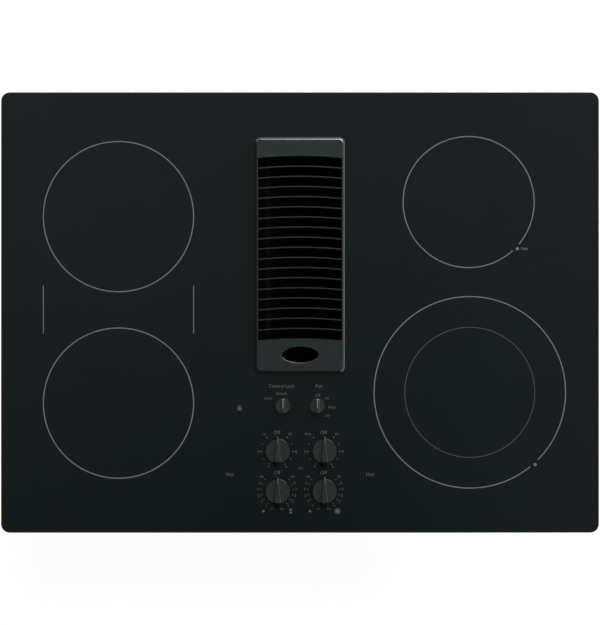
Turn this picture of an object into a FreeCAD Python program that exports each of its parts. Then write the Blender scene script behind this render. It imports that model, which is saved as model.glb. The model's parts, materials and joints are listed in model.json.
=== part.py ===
"""Drop-in electric cooktop, thirty inches wide, with a downdraft vent down its middle.

Millimetres. The origin is the centre of the glass on the counter plane, +X to the cook's right,
+Y to the back and +Z up. Every solid is drawn where it sits with the knobs off and the vent closed.
"""
import FreeCAD
import Part
import Sketcher
import math
import operator
import os
from types import SimpleNamespace

SIZES = {
    # Glass top and its gasket
    "glass_width": 755.65,
    "glass_depth": 556.7,
    "glass_thickness": 4,
    "glass_corner": 11,
    "glass_bevel": 0.8,
    "gasket_thickness": 3,
    "gasket_width": 10,
    "gasket_inset": 3,
    # Steel frame under the glass, and the pan that hangs from it
    "side_overhang": 20,
    "end_overhang": 20.5,
    "frame_sheet": 1.2,
    "frame_flange": 16,
    "frame_skirt": 22,
    "frame_corner": 10,
    "box_sheet": 1,
    "box_drop": 74,
    "box_clearance": 0.3,
    "box_floor_round": 5,
    "louvre_length": 46,
    "louvre_width": 5,
    "louvre_pitch": 66,
    "louvre_below_skirt": 14,
    # Screws
    "screw_radius": 2,
    "screw_length": 7,
    "screw_head_radius": 3.9,
    "screw_head_height": 2.2,
    "screw_clearance": 0.15,
    "end_screw_spread": 470,
    "side_screw_spread": 320,
    # Vent opening and grille
    "vent_width": 107,
    "vent_back_inset": 60.7,
    "vent_front_inset": 205.8,
    "grille_lip": 3.65,
    "grille_corner": 7.8,
    "grille_height": 8,
    "grille_edge_round": 3.8,
    "grille_plate": 3,
    "rear_band": 24,
    "front_band": 43.6,
    "louver_thickness": 1.6,
    "louver_bow": 2.6,
    "louver_depth": 14,
    "louver_bite": 0.4,
    "louver_clearance": 0.25,
    "finger_hole_length": 46,
    "finger_hole_width": 20,
    "finger_hole_inset": 23,
    "finger_hole_round": 0.5,
    "lug_width": 12,
    "lug_thickness": 3,
    "lug_depth": 5,
    "lug_clearance": 0.8,
    "lug_spread": 60,
    # Vent chamber and filter
    "chamber_setback": 1,
    "chamber_sheet": 1,
    "chamber_flange": 12,
    "chamber_sump": 30,
    "chamber_hole_clearance": 1,
    "filter_side_gap": 3.55,
    "filter_end_gap": 5.1,
    "filter_thickness": 10,
    "filter_lean_angle": 44,
    "filter_drop": 30,
    "filter_rim": 9,
    "filter_channel": 1.5,
    "ledge_length": 16,
    "ledge_sheet": 1,
    "ledge_lip": 6,
    "ledge_end_gap": 40,
    # Radiant units
    "left_side_margin": 53.6,
    "left_inner_margin": 134.425,
    "left_front_margin": 68.95,
    "left_rear_margin": 62.25,
    "bridge_gap": 45.9,
    "right_side_margin": 43,
    "right_inner_margin": 92.825,
    "right_front_margin": 56.5,
    "right_rear_margin": 56,
    "right_zone_gap": 36.6,
    "right_rear_ratio": 0.6843,
    "right_inner_ratio": 0.67934,
    "dish_margin": 6,
    "dish_height": 30,
    "dish_rim_gap": 2,
    "dish_sheet": 0.8,
    "board_gap": 0.3,
    "board_rim": 9,
    "board_pocket": 14,
    "divider_wall": 7,
    "ribbon_thickness": 1,
    "ribbon_height": 5,
    "ribbon_pitch": 9,
    "ribbon_edge_gap": 6,
    "ribbon_core": 26,
    "ribbon_opening": 9,
    "limiter_radius": 2.5,
    "limiter_clearance": 0.4,
    "limiter_rise": 9,
    "limiter_head_length": 22,
    "limiter_head_width": 16,
    "limiter_head_height": 14,
    "rail_width": 44,
    "rail_foot": 12,
    "rail_sheet": 1.2,
    "rail_end_gap": 0.3,
    # Control cluster
    "panel_offset": 1.45,
    "front_row_ratio": 0.25583,
    "rear_row_ratio": 0.50267,
    "small_row_ratio": 0.7809,
    "knob_column_pitch": 58.9,
    "small_panel_offset": 0.35,
    "small_column_pitch": 43.5,
    "bracket_sheet": 1.2,
    "bracket_drop": 9,
    "bracket_width": 128,
    "bracket_foot": 12,
    "bracket_front_gap": 4,
    "bracket_back_margin": 20,
    "wing_width": 20,
    "wing_reach": 11,
    "hot_lamp_spread": 177,
    "hot_lamp_rise": 21,
    "lock_lamp_reach": 77.5,
    "lamp_radius": 4,
    "lamp_gap": 0.3,
    "switch_width": 38,
    "switch_depth": 34,
    "switch_height": 34,
    "small_switch_width": 30,
    "small_switch_depth": 26,
    "small_switch_height": 24,
    "switch_corner": 2,
    "bushing_radius": 6,
    "bushing_rise": 4,
    "bushing_clearance": 0.2,
    "terminal_width": 6.3,
    "terminal_thickness": 0.8,
    "terminal_length": 9,
    "terminal_inset": 5,
    "shaft_radius": 3,
    "shaft_flat": 0.9,
    "shaft_clearance": 0.06,
    "shaft_engagement": 14,
    "shaft_floor_gap": 1,
    "shaft_collar_radius": 4.4,
    "shaft_collar_height": 1,
    "shaft_hole_radius": 6.5,
    "push_travel": 3,
    "sleeve_radius": 5.4,
    "sleeve_height": 3.5,
    "sleeve_margin": 0.5,
    "knob_clearance": 1,
    "knob_radius": 16,
    "knob_skirt_height": 4.5,
    "knob_skirt_edge": 2,
    "grip_height": 13,
    "grip_tip_reach": 19.6,
    "grip_tip_width": 3.2,
    "grip_heel_reach": 20.2,
    "grip_heel_width": 12.6,
    "grip_heel_bulge": 4.5,
    "grip_tip_slope": 1.1,
    "grip_heel_slope": 7.4,
    "crest_tip_width": 1.8,
    "crest_heel_width": 8.4,
    "crest_heel_bulge": 1.2,
    "crest_round": 0.7,
    "knob_bore_depth": 7,
    "small_knob_radius": 9.9,
    "small_knob_edge": 1.2,
    "small_skirt_height": 8,
    "small_skirt_draft": 0.8,
    "flute_radius": 0.7,
    "flute_inset": 0.5,
    "small_grip_width": 6,
    "small_grip_length": 18.4,
    "small_grip_height": 4.5,
    "small_knob_round": 0.8,
    # Junction box
    "junction_width": 110,
    "junction_depth": 76,
    "junction_height": 44,
    "junction_sheet": 1.2,
    "junction_side_inset": 70,
    "junction_back_inset": 60,
    "conduit_radius": 11.1,
    "wire_hole_radius": 12,
    "block_width": 62,
    "block_depth": 24,
    "block_height": 16,
    "block_rib": 3,
    "block_rib_height": 5,
    # Blower
    "blower_offset": 37.55,
    "blower_clearance": 10,
    "wheel_radius": 76,
    "wheel_width": 76,
    "wheel_sheet": 1.5,
    "wheel_rim_depth": 13,
    "blade_thickness": 1,
    "blade_radius": 9,
    "hub_radius": 11,
    "hub_length": 24,
    "scroll_gap": 10,
    "scroll_growth": 28,
    "scroll_sheet": 1.2,
    "scroll_neck": 145,
    "eye_radius": 59,
    "eye_gap": 6,
    "eye_lip": 5,
    "plate_gap": 8,
    "motor_shaft_radius": 4,
    "motor_radius": 46,
    "motor_length": 70,
    "motor_round": 8,
    "motor_boss_radius": 15,
    "motor_boss_length": 6,
    "motor_standoff": 16,
    "motor_bearing_clearance": 0.05,
    "motor_slot_width": 6,
    "motor_slot_length": 30,
    "motor_slot_depth": 3,
    "spider_sheet": 2,
    "spider_arm_width": 16,
    "spider_arm_reach": 58,
    "spider_foot": 14,
    "collar_radius": 75.5,
    "collar_length": 38,
    "collar_sheet": 1,
    "transition_length": 50,
    # Hold-downs
    "clamp_width": 40,
    "clamp_sheet": 1.6,
    "clamp_reach": 17,
    "clamp_rise": 34,
    "clamp_above_floor": 6,
    "clamp_screw_radius": 2.5,
    "clamp_screw_clearance": 0.06,
    "clamp_screw_inset": 7.5,
    "clamp_counter": 40,
    "clamp_foot_radius": 6.5,
    "clamp_foot_height": 4,
    "clamp_screw_travel": 20,
    "clamp_head_radius": 4.6,
    "clamp_head_height": 4,
}

LOUVERS = 17
BOX_LOUVRES = 7
BLADES = 32
BLADE_ANGLES = (228, 300)
MOTOR_SLOTS = 8
SPIDER_ARMS = 3
BLOCK_RIBS = 4
KNOB_FLUTES = 24

# Where the scroll's tongue stands, round from straight back
TONGUE = math.radians(-45)
# Lengths closer than this count as equal, and a pocket cuts at least this volume
NEAR = 1e-4
LEAST_CUT = 1e-3

OPERATIONS = {"+": operator.add, "-": operator.sub, "*": operator.mul, "/": operator.truediv}
ACROSS, ALONG = FreeCAD.Vector(1, 0, 0), FreeCAD.Vector(0, 1, 0)
# Turns that point a cylinder along each axis
TURNS = {
    "X": FreeCAD.Rotation(ALONG, 90),
    "-X": FreeCAD.Rotation(ALONG, -90),
    "Y": FreeCAD.Rotation(ACROSS, -90),
    "-Y": FreeCAD.Rotation(ACROSS, 90),
    "Z": FreeCAD.Rotation(),
    "-Z": FreeCAD.Rotation(ACROSS, 180),
}


class Size:
    """A length or an angle: its number, and the expression on the sheet that gives it."""

    def __init__(self, text, number):
        self.text = text
        self.number = number

    def __add__(self, other):
        return combine(self, "+", other)

    def __radd__(self, other):
        return combine(other, "+", self)

    def __sub__(self, other):
        return combine(self, "-", other)

    def __rsub__(self, other):
        return combine(other, "-", self)

    def __mul__(self, other):
        return combine(self, "*", other)

    def __rmul__(self, other):
        return combine(other, "*", self)

    def __truediv__(self, other):
        return combine(self, "/", other)

    def __neg__(self):
        return combine(0, "-", self)


def as_size(value):
    return value if isinstance(value, Size) else Size(repr(float(value)), float(value))


def combine(left, sign, right):
    left, right = as_size(left), as_size(right)
    number = OPERATIONS[sign](left.number, right.number)
    return Size(f"({left.text} {sign} {right.text})", number)


def sine(angle):
    return Size(f"sin({angle.text})", math.sin(math.radians(angle.number)))


def cosine(angle):
    return Size(f"cos({angle.text})", math.cos(math.radians(angle.number)))


def smaller(one, other):
    return Size(f"min({one.text}; {other.text})", min(one.number, other.number))


doc = FreeCAD.newDocument("downdraft_cooktop")
sheet = doc.addObject("Spreadsheet::Sheet", "Sizes")
for row, (name, number) in enumerate(SIZES.items(), 1):
    sheet.set(f"A{row}", name)
    sheet.set(f"B{row}", str(number))
    sheet.setAlias(f"B{row}", name)
doc.recompute()
S = SimpleNamespace(**{name: Size(f"Sizes.{name}", float(n)) for name, n in SIZES.items()})

# Levels and places that several pieces share
glass_bottom = S.gasket_thickness
glass_face = glass_bottom + S.glass_thickness
frame_x = S.glass_width / 2 - S.side_overhang
frame_y = S.glass_depth / 2 - S.end_overhang
box_x = frame_x - S.frame_sheet - S.box_clearance
box_y = frame_y - S.frame_sheet - S.box_clearance
box_rim = glass_bottom - S.frame_sheet
box_bottom = -S.box_drop
box_floor = box_bottom + S.box_sheet
screw_hole = S.screw_radius + S.screw_clearance
skirt_screw_level = -S.frame_skirt / 2

vent_length = S.glass_depth - S.vent_back_inset - S.vent_front_inset
vent_y = (S.vent_front_inset - S.vent_back_inset) / 2
chamber_x = S.vent_width / 2 + S.chamber_setback
chamber_y = vent_length / 2 + S.chamber_setback
chamber_outer_x = chamber_x + S.chamber_sheet
chamber_outer_y = chamber_y + S.chamber_sheet
# The louvers pass down through the glass, and their ends bite into the grille's rails
louver_half = S.vent_width / 2 - S.louver_clearance
grille_rail = S.grille_lip + S.louver_clearance + S.louver_bite

# The filter leans across the chamber, with a gap all round
filter_length = 2 * (chamber_y - S.filter_end_gap)
filter_across = 2 * (chamber_x - S.filter_side_gap)
filter_rise = S.filter_thickness * sine(S.filter_lean_angle)
filter_width = (filter_across - filter_rise) / cosine(S.filter_lean_angle)
filter_left = -filter_across / 2

# The zones fill what the margins leave, by width or by depth, whichever is tighter
left_across = S.glass_width / 2 - S.left_side_margin - S.left_inner_margin
left_along = S.glass_depth - S.left_front_margin - S.left_rear_margin
left_radius = smaller(left_across / 2, (left_along - S.bridge_gap) / 4)
left_reach = left_along / 2 - left_radius
left_x = -S.left_inner_margin - left_across / 2
left_y = (S.left_front_margin - S.left_rear_margin) / 2
right_across = S.glass_width / 2 - S.right_side_margin - S.right_inner_margin
right_along = S.glass_depth - S.right_front_margin - S.right_rear_margin - S.right_zone_gap
right_front_radius = smaller(right_across / 2, right_along / 2 / (1 + S.right_rear_ratio))
right_rear_radius = right_front_radius * S.right_rear_ratio
right_inner_radius = right_front_radius * S.right_inner_ratio
right_x = S.right_inner_margin + right_across / 2
right_front_y = S.right_front_margin + right_front_radius - S.glass_depth / 2
right_rear_y = S.glass_depth / 2 - S.right_rear_margin - right_rear_radius
dish_bottom = glass_bottom - S.dish_rim_gap - S.dish_height
board_floor = glass_bottom - S.board_pocket

# The knob rows share out the glass in front of the vent
front_row_y = S.vent_front_inset * S.front_row_ratio - S.glass_depth / 2
rear_row_y = S.vent_front_inset * S.rear_row_ratio - S.glass_depth / 2
small_row_y = S.vent_front_inset * S.small_row_ratio - S.glass_depth / 2
bracket_top = -S.bracket_drop
bracket_under = bracket_top - S.bracket_sheet
bushing_top = bracket_top + S.bushing_rise
sleeve_bottom = bushing_top + S.push_travel + S.sleeve_margin
sleeve_top = sleeve_bottom + S.sleeve_height
knob_bottom = glass_face + S.push_travel + S.knob_clearance

blower_y = vent_y - S.blower_offset
scroll_start = S.wheel_radius + S.scroll_gap
blower_z = box_bottom - S.blower_clearance - scroll_start - S.scroll_growth - S.scroll_sheet
chamber_floor = blower_z - S.eye_radius - S.chamber_sump
inlet_face = chamber_outer_x
scroll_near = inlet_face + S.scroll_sheet
scroll_far = scroll_near + S.eye_gap + S.wheel_width + S.plate_gap
scroll_back = scroll_far + S.scroll_sheet
wheel_near = scroll_near + S.eye_gap
wheel_far = wheel_near + S.wheel_width
motor_face = scroll_back + S.motor_standoff
neck_bottom = blower_z - S.scroll_neck

NODES = []


# Helpers: binding, sketches and features
def bind(thing, **properties):
    """Ties properties of an object to sheet expressions."""
    for name, value in properties.items():
        thing.setExpression(name, as_size(value).text)


def place(thing, x=0, y=0, z=0):
    for axis, value in zip("xyz", (x, y, z)):
        thing.setExpression(f"Placement.Base.{axis}", as_size(value).text)
    return thing


def node(thing, label):
    """Marks an object as a finished piece with its own name."""
    thing.Label = label
    NODES.append(thing)
    return thing


def add_body(label, x=0, y=0, z=0):
    body = doc.addObject("PartDesign::Body", label)
    place(body, x, y, z)
    return node(body, label)


def origin_feature(body, role):
    return next(f for f in body.Origin.OriginFeatures if f.Role == role)


def add_sketch(body, plane, lift=0):
    sketch = body.newObject("Sketcher::SketchObject", f"{body.Name}_sketch")
    sketch.AttachmentSupport = [(origin_feature(body, f"{plane}_Plane"), "")]
    sketch.MapMode = "FlatFace"
    sketch.setExpression("AttachmentOffset.Base.z", as_size(lift).text)
    return sketch


def constrain(sketch, kind, *where, value):
    value = as_size(value)
    index = sketch.addConstraint(Sketcher.Constraint(kind, *where, value.number))
    sketch.setExpression(f"Constraints[{index}]", value.text)


def pin(sketch, geometry, end, point):
    """Holds one point of a sketch at its distances from the origin."""
    constrain(sketch, "DistanceX", -1, 1, geometry, end, value=point[0])
    constrain(sketch, "DistanceY", -1, 1, geometry, end, value=point[1])


def vector(point):
    return FreeCAD.Vector(*[as_size(value).number for value in point], 0)


def draw_polygon(sketch, points):
    first = sketch.GeometryCount
    count = len(points)
    for index, point in enumerate(points):
        after = points[(index + 1) % count]
        sketch.addGeometry(Part.LineSegment(vector(point), vector(after)))
    for index, point in enumerate(points):
        after = first + (index + 1) % count
        sketch.addConstraint(Sketcher.Constraint("Coincident", first + index, 2, after, 1))
        pin(sketch, first + index, 1, point)


def draw_rectangle(sketch, low, high):
    draw_polygon(sketch, [low, (high[0], low[1]), high, (low[0], high[1])])


def draw_circle(sketch, centre, radius):
    radius = as_size(radius)
    circle = Part.Circle(vector(centre), FreeCAD.Vector(0, 0, 1), radius.number)
    index = sketch.addGeometry(circle)
    pin(sketch, index, 3, centre)
    constrain(sketch, "Radius", index, value=radius)


def draw_ellipse(sketch, centre, half_length, half_width):
    """An ellipse, long in X."""
    spot = vector(centre)
    across, along = as_size(half_length), as_size(half_width)
    index = sketch.addGeometry(Part.Ellipse(spot, across.number, along.number))
    sketch.exposeInternalGeometry(index)
    pin(sketch, index, 3, centre)
    major, minor = index + 1, index + 2
    sketch.addConstraint(Sketcher.Constraint("Horizontal", major))
    constrain(sketch, "Distance", major, value=2 * across)
    constrain(sketch, "Distance", minor, value=2 * along)


def add_arc(sketch, centre, radius, start, end):
    circle = Part.Circle(vector(centre), FreeCAD.Vector(0, 0, 1), as_size(radius).number)
    return sketch.addGeometry(Part.ArcOfCircle(circle, math.radians(start), math.radians(end)))


def join(sketch, *ends):
    sketch.addConstraint(Sketcher.Constraint("Coincident", *ends))


def draw_stadium(sketch, centre, reach, radius, upright=True):
    """Two half circles, a distance of twice the reach apart, with straight sides."""
    x, y = centre
    step = (0, reach) if upright else (reach, 0)
    level = "Horizontal" if upright else "Vertical"
    turn = 0 if upright else -90
    side = (radius, 0) if upright else (0, -radius)
    ahead = add_arc(sketch, (x + step[0], y + step[1]), radius, turn, turn + 180)
    behind = add_arc(sketch, (x - step[0], y - step[1]), radius, turn + 180, turn + 360)
    corners = [(x + sx * step[0] + sy * side[0], y + sx * step[1] + sy * side[1])
               for sx, sy in ((1, -1), (-1, -1), (-1, 1), (1, 1))]
    left = sketch.addGeometry(Part.LineSegment(vector(corners[0]), vector(corners[1])))
    right = sketch.addGeometry(Part.LineSegment(vector(corners[2]), vector(corners[3])))
    for ends in ((ahead, 2, left, 1), (left, 2, behind, 1), (behind, 2, right, 1), (right, 2, ahead, 1)):
        join(sketch, *ends)
    for arc, sign in ((ahead, 1), (behind, -1)):
        pin(sketch, arc, 3, (x + sign * step[0], y + sign * step[1]))
        constrain(sketch, "Radius", arc, value=radius)
        for end in (1, 2):
            sketch.addConstraint(Sketcher.Constraint(level, arc, 3, arc, end))


def draw_bowed_strip(sketch, half_width, back, front, bow):
    """A strip across the vent whose long edges bow to the back by the same amount."""
    radius = (half_width * half_width + bow * bow) / (2 * bow)
    half_angle = math.degrees(math.asin(half_width.number / radius.number))
    arcs = []
    for edge in (back, front):
        arc = add_arc(sketch, (0, edge - radius), radius, 90 - half_angle, 90 + half_angle)
        constrain(sketch, "Radius", arc, value=radius)
        pin(sketch, arc, 1, (half_width, edge - bow))
        pin(sketch, arc, 2, (-half_width, edge - bow))
        arcs.append(arc)
    for end, side in ((1, half_width), (2, -half_width)):
        ends = vector((side, back - bow)), vector((side, front - bow))
        line = sketch.addGeometry(Part.LineSegment(*ends))
        join(sketch, line, 1, arcs[0], end)
        join(sketch, line, 2, arcs[1], end)


def draw_wedge(sketch, tip, heel, back, front, bulge):
    """A grip's outline: a narrow straight tip at the back and a round heel at the front."""
    half = heel / 2
    corner = front + bulge
    radius = (half * half + bulge * bulge) / (2 * bulge)
    half_angle = math.degrees(math.asin(half.number / radius.number))
    arc = add_arc(sketch, (0, front + radius), radius, 270 - half_angle, 270 + half_angle)
    constrain(sketch, "Radius", arc, value=radius)
    pin(sketch, arc, 1, (-half, corner))
    pin(sketch, arc, 2, (half, corner))
    route = [(half, corner), (tip / 2, back), (-tip / 2, back), (-half, corner)]
    lines = [sketch.addGeometry(Part.LineSegment(vector(start), vector(end)))
             for start, end in zip(route, route[1:])]
    chain = [arc, *lines, arc]
    for here, after in zip(chain, chain[1:]):
        join(sketch, here, 2, after, 1)
    pin(sketch, lines[1], 1, route[1])
    pin(sketch, lines[1], 2, route[2])


def pad(body, sketch, length, back=False, both=False):
    feature = body.newObject("PartDesign::Pad", f"{body.Name}_pad")
    feature.Profile = sketch
    feature.Reversed = back
    if both:
        feature.SideType = "Symmetric"
    bind(feature, Length=length)
    body.Tip = feature
    return feature


def pocket(body, sketch, depth=None, back=False, both=False):
    feature = body.newObject("PartDesign::Pocket", f"{body.Name}_pocket")
    feature.Profile = sketch
    feature.Reversed = back
    if both:
        feature.SideType = "Symmetric"
    if depth is None:
        feature.Type = "ThroughAll"
    else:
        bind(feature, Length=depth)
    body.Tip = feature
    doc.recompute()
    if not feature.Shape.Volume < feature.BaseFeature.Shape.Volume - LEAST_CUT:
        raise RuntimeError(f"{feature.Name} cuts nothing")
    return feature


def turn(body, profile, axis):
    """A full turn of a profile about one axis of its sketch."""
    feature = body.newObject("PartDesign::Revolution", f"{body.Name}_turned")
    feature.Profile = profile
    feature.ReferenceAxis = (profile, [axis])
    feature.Angle = 360
    body.Tip = feature
    return feature


def edge_names(shape, chosen):
    return [f"Edge{index}" for index, edge in enumerate(shape.Edges, 1) if chosen(edge)]


def dress(body, kind, value, chosen):
    """A fillet or chamfer on the edges of the body that the test picks."""
    doc.recompute()
    base = body.Tip
    names = edge_names(base.Shape, chosen)
    feature = body.newObject(f"PartDesign::{kind}", f"{body.Name}_{kind.lower()}")
    feature.Base = (base, names)
    bind(feature, **{"Radius" if kind == "Fillet" else "Size": value})
    body.Tip = feature
    return feature


def hollow(body, wall, chosen):
    """Shells the body inward and leaves the picked face open."""
    doc.recompute()
    base = body.Tip
    names = [f"Face{index}" for index, face in enumerate(base.Shape.Faces, 1) if chosen(face)]
    feature = body.newObject("PartDesign::Thickness", f"{body.Name}_shell")
    feature.Base = (base, names)
    feature.Reversed = True
    bind(feature, Value=wall)
    body.Tip = feature


def repeat(body, feature, kind, axis, count, **span):
    """A linear or polar pattern of one feature."""
    pattern = body.newObject(f"PartDesign::{kind}Pattern", f"{body.Name}_pattern")
    pattern.Originals = [feature]
    direction = (origin_feature(body, axis), [""])
    if kind == "Polar":
        pattern.Axis = direction
    else:
        pattern.Direction = direction
    pattern.Occurrences = count
    bind(pattern, **span)
    body.Tip = pattern
    return pattern


def is_upright(edge):
    box = edge.BoundBox
    return box.XLength < NEAR and box.YLength < NEAR


def at_level(edge, level):
    box = edge.BoundBox
    return abs(box.ZMin - level.number) < NEAR and abs(box.ZMax - level.number) < NEAR


def lies_at(face, level):
    box = face.BoundBox
    return box.ZLength < NEAR and abs(box.ZMin - level.number) < NEAR


def cylinder(label, base, radius, height, axis="Z"):
    piece = doc.addObject("Part::Cylinder", label)
    piece.Placement = FreeCAD.Placement(FreeCAD.Vector(), TURNS[axis])
    bind(piece, Radius=radius, Height=height)
    return place(piece, *base)


def box(label, low, high):
    piece = doc.addObject("Part::Box", label)
    spans = [as_size(b) - a for a, b in zip(low, high)]
    bind(piece, Length=spans[0], Width=spans[1], Height=spans[2])
    return place(piece, *low)


def fuse(label, pieces):
    whole = doc.addObject("Part::MultiFuse", label)
    whole.Shapes = pieces
    return whole


def cut(label, base, tool):
    whole = doc.addObject("Part::Cut", label)
    whole.Base = base
    whole.Tool = tool
    return whole


def group(label, pieces):
    whole = doc.addObject("Part::Compound", label)
    whole.Links = pieces
    return node(whole, label)


def mirrored(values):
    return [(side, value) for value in values for side in (-1, 1)]


# Glass top, gasket, frame and pan
def rounded_plate(label, half_x, half_y, corner, low, thickness):
    body = add_body(label)
    sketch = add_sketch(body, "XY", low)
    draw_rectangle(sketch, (-half_x, -half_y), (half_x, half_y))
    pad(body, sketch, thickness)
    dress(body, "Fillet", corner, is_upright)
    return body


def knob_places():
    """Each knob's name, its column and row, and whether it is one of the small ones."""
    column, small = S.knob_column_pitch / 2, S.small_column_pitch / 2
    return [
        ("left_rear", S.panel_offset - column, rear_row_y, False),
        ("right_rear", S.panel_offset + column, rear_row_y, False),
        ("left_front", S.panel_offset - column, front_row_y, False),
        ("right_front", S.panel_offset + column, front_row_y, False),
        ("lock", S.small_panel_offset - small, small_row_y, True),
        ("fan", S.small_panel_offset + small, small_row_y, True),
    ]


def make_glass():
    half_x, half_y = S.glass_width / 2, S.glass_depth / 2
    body = rounded_plate("glass_top", half_x, half_y, S.glass_corner, glass_bottom, S.glass_thickness)
    dress(body, "Chamfer", S.glass_bevel, lambda edge: at_level(edge, glass_face))
    opening = add_sketch(body, "XY", glass_face)
    low = (-S.vent_width / 2, vent_y - vent_length / 2)
    high = (S.vent_width / 2, vent_y + vent_length / 2)
    draw_rectangle(opening, low, high)
    pocket(body, opening)
    inside = (half_x - 2 * S.glass_corner).number
    dress(body, "Fillet", S.grille_corner,
          lambda edge: is_upright(edge) and abs(edge.BoundBox.XMin) < inside)
    holes = add_sketch(body, "XY", glass_face)
    for _, x, y, _ in knob_places():
        draw_circle(holes, (x, y), S.shaft_hole_radius)
    pocket(body, holes)


def make_gasket():
    outer_x, outer_y = S.glass_width / 2 - S.gasket_inset, S.glass_depth / 2 - S.gasket_inset
    corner = S.glass_corner - S.gasket_inset
    body = rounded_plate("rim_gasket", outer_x, outer_y, corner, 0, S.gasket_thickness)
    inner = add_sketch(body, "XY", S.gasket_thickness)
    inner_x, inner_y = outer_x - S.gasket_width, outer_y - S.gasket_width
    draw_rectangle(inner, (-inner_x, -inner_y), (inner_x, inner_y))
    pocket(body, inner)


def skirt_screw_places():
    """Screws through the frame's skirt into the pan: how far along its side, which side and which axis."""
    ends = [(along * S.end_screw_spread / 2, side, "Y") for along, side in mirrored((-1, 1))]
    sides = [(along * S.side_screw_spread / 2, side, "X") for side, along in mirrored((-1, 1))]
    return ends + sides


def skirt_holes(body):
    """Screw holes through both pairs of opposite walls of the body."""
    for plane, spread in (("XZ", S.end_screw_spread), ("YZ", S.side_screw_spread)):
        sketch = add_sketch(body, plane)
        for along in (-1, 1):
            draw_circle(sketch, (along * spread / 2, skirt_screw_level), screw_hole)
        pocket(body, sketch, 2 * S.glass_width, both=True)


def make_frame():
    depth = glass_bottom + S.frame_skirt
    body = rounded_plate("support_frame", frame_x, frame_y, S.frame_corner, -S.frame_skirt, depth)
    hollow(body, S.frame_sheet, lambda face: lies_at(face, -S.frame_skirt))
    inner = add_sketch(body, "XY", glass_bottom)
    inner_x, inner_y = frame_x - S.frame_flange, frame_y - S.frame_flange
    draw_rectangle(inner, (-inner_x, -inner_y), (inner_x, inner_y))
    pocket(body, inner, 2 * S.frame_sheet)
    skirt_holes(body)


def bracket_feet():
    """Screw places in the control bracket's feet."""
    reach = S.bracket_width / 2 + S.bracket_foot / 2 + S.bracket_sheet / 2
    return [(S.panel_offset + side * reach, y) for side, y in mirrored((front_row_y, small_row_y))]


def junction_span():
    left = S.junction_side_inset - S.glass_width / 2
    back = S.glass_depth / 2 - S.junction_back_inset
    return left, left + S.junction_width, back - S.junction_depth, back


def clamp_screw_holes():
    level = box_bottom + S.clamp_above_floor + S.clamp_rise - S.clamp_rise / 4
    return [(side * S.clamp_width / 4, level) for side in (-1, 1)]


def make_pan():
    height = box_rim - box_bottom
    corner = S.frame_corner - S.frame_sheet - S.box_clearance
    body = rounded_plate("burner_box", box_x, box_y, corner, box_bottom, height)
    dress(body, "Fillet", S.box_floor_round, lambda edge: at_level(edge, box_bottom))
    hollow(body, S.box_sheet, lambda face: lies_at(face, box_rim))
    well = add_sketch(body, "XY", box_floor)
    gap_x = chamber_outer_x + S.chamber_hole_clearance
    gap_y = chamber_outer_y + S.chamber_hole_clearance
    draw_rectangle(well, (-gap_x, vent_y - gap_y), (gap_x, vent_y + gap_y))
    pocket(body, well, 2 * S.box_sheet)
    holes = add_sketch(body, "XY", box_floor)
    for point in bracket_feet():
        draw_circle(holes, point, screw_hole)
    left, right, front, back = junction_span()
    draw_circle(holes, ((left + right) / 2, front + S.junction_depth / 4), S.wire_hole_radius)
    pocket(body, holes, 2 * S.box_sheet)
    skirt_holes(body)
    clamps = add_sketch(body, "YZ")
    for point in clamp_screw_holes():
        draw_circle(clamps, point, screw_hole)
    pocket(body, clamps, 2 * S.glass_width, both=True)
    slots = add_sketch(body, "XZ")
    level = -S.frame_skirt - S.louvre_below_skirt
    reach = (S.louvre_length - S.louvre_width) / 2
    for step in range(BOX_LOUVRES):
        x = S.louvre_pitch * (step - (BOX_LOUVRES - 1) / 2)
        draw_stadium(slots, (x, level), reach, S.louvre_width / 2, upright=False)
    pocket(body, slots, 2 * S.glass_depth, both=True)


# Screws: a pan head on the outer sheet and a shank through both
def screw(label, point, axis):
    """A screw whose head sits on the point and whose shank runs along the axis."""
    back = axis[1:] if axis.startswith("-") else f"-{axis}"
    head = cylinder(f"{label}_head", point, S.screw_head_radius, S.screw_head_height, back)
    shank = cylinder(f"{label}_shank", point, S.screw_radius, S.screw_length, axis)
    return fuse(label, [head, shank])


def make_screws():
    screws = []
    for along, side, axis in skirt_screw_places():
        inward = axis if side < 0 else f"-{axis}"
        x, y = (along, side * frame_y) if axis == "Y" else (side * frame_x, along)
        screws.append(screw("skirt_screw", (x, y, skirt_screw_level), inward))
    for x, y in bracket_feet():
        screws.append(screw("bracket_screw", (x, y, box_floor + S.bracket_sheet), "-Z"))
    for side in (-1, 1):
        for y, z in clamp_screw_holes():
            point = (side * (box_x + S.clamp_sheet), y, z)
            screws.append(screw("clamp_fixing", point, "X" if side < 0 else "-X"))
    for y, z in spider_feet():
        point = (scroll_back + S.spider_sheet, y, z)
        screws.append(screw("spider_screw", point, "-X"))
    group("case_screws", screws)


# Vent: grille, filter and chamber
def grille_edges():
    """Half sizes of the grille, and where its slots start and stop."""
    half_x, half_y = S.vent_width / 2 + S.grille_lip, vent_length / 2 + S.grille_lip
    return half_x, half_y, half_y - S.rear_band, S.front_band - half_y


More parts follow.
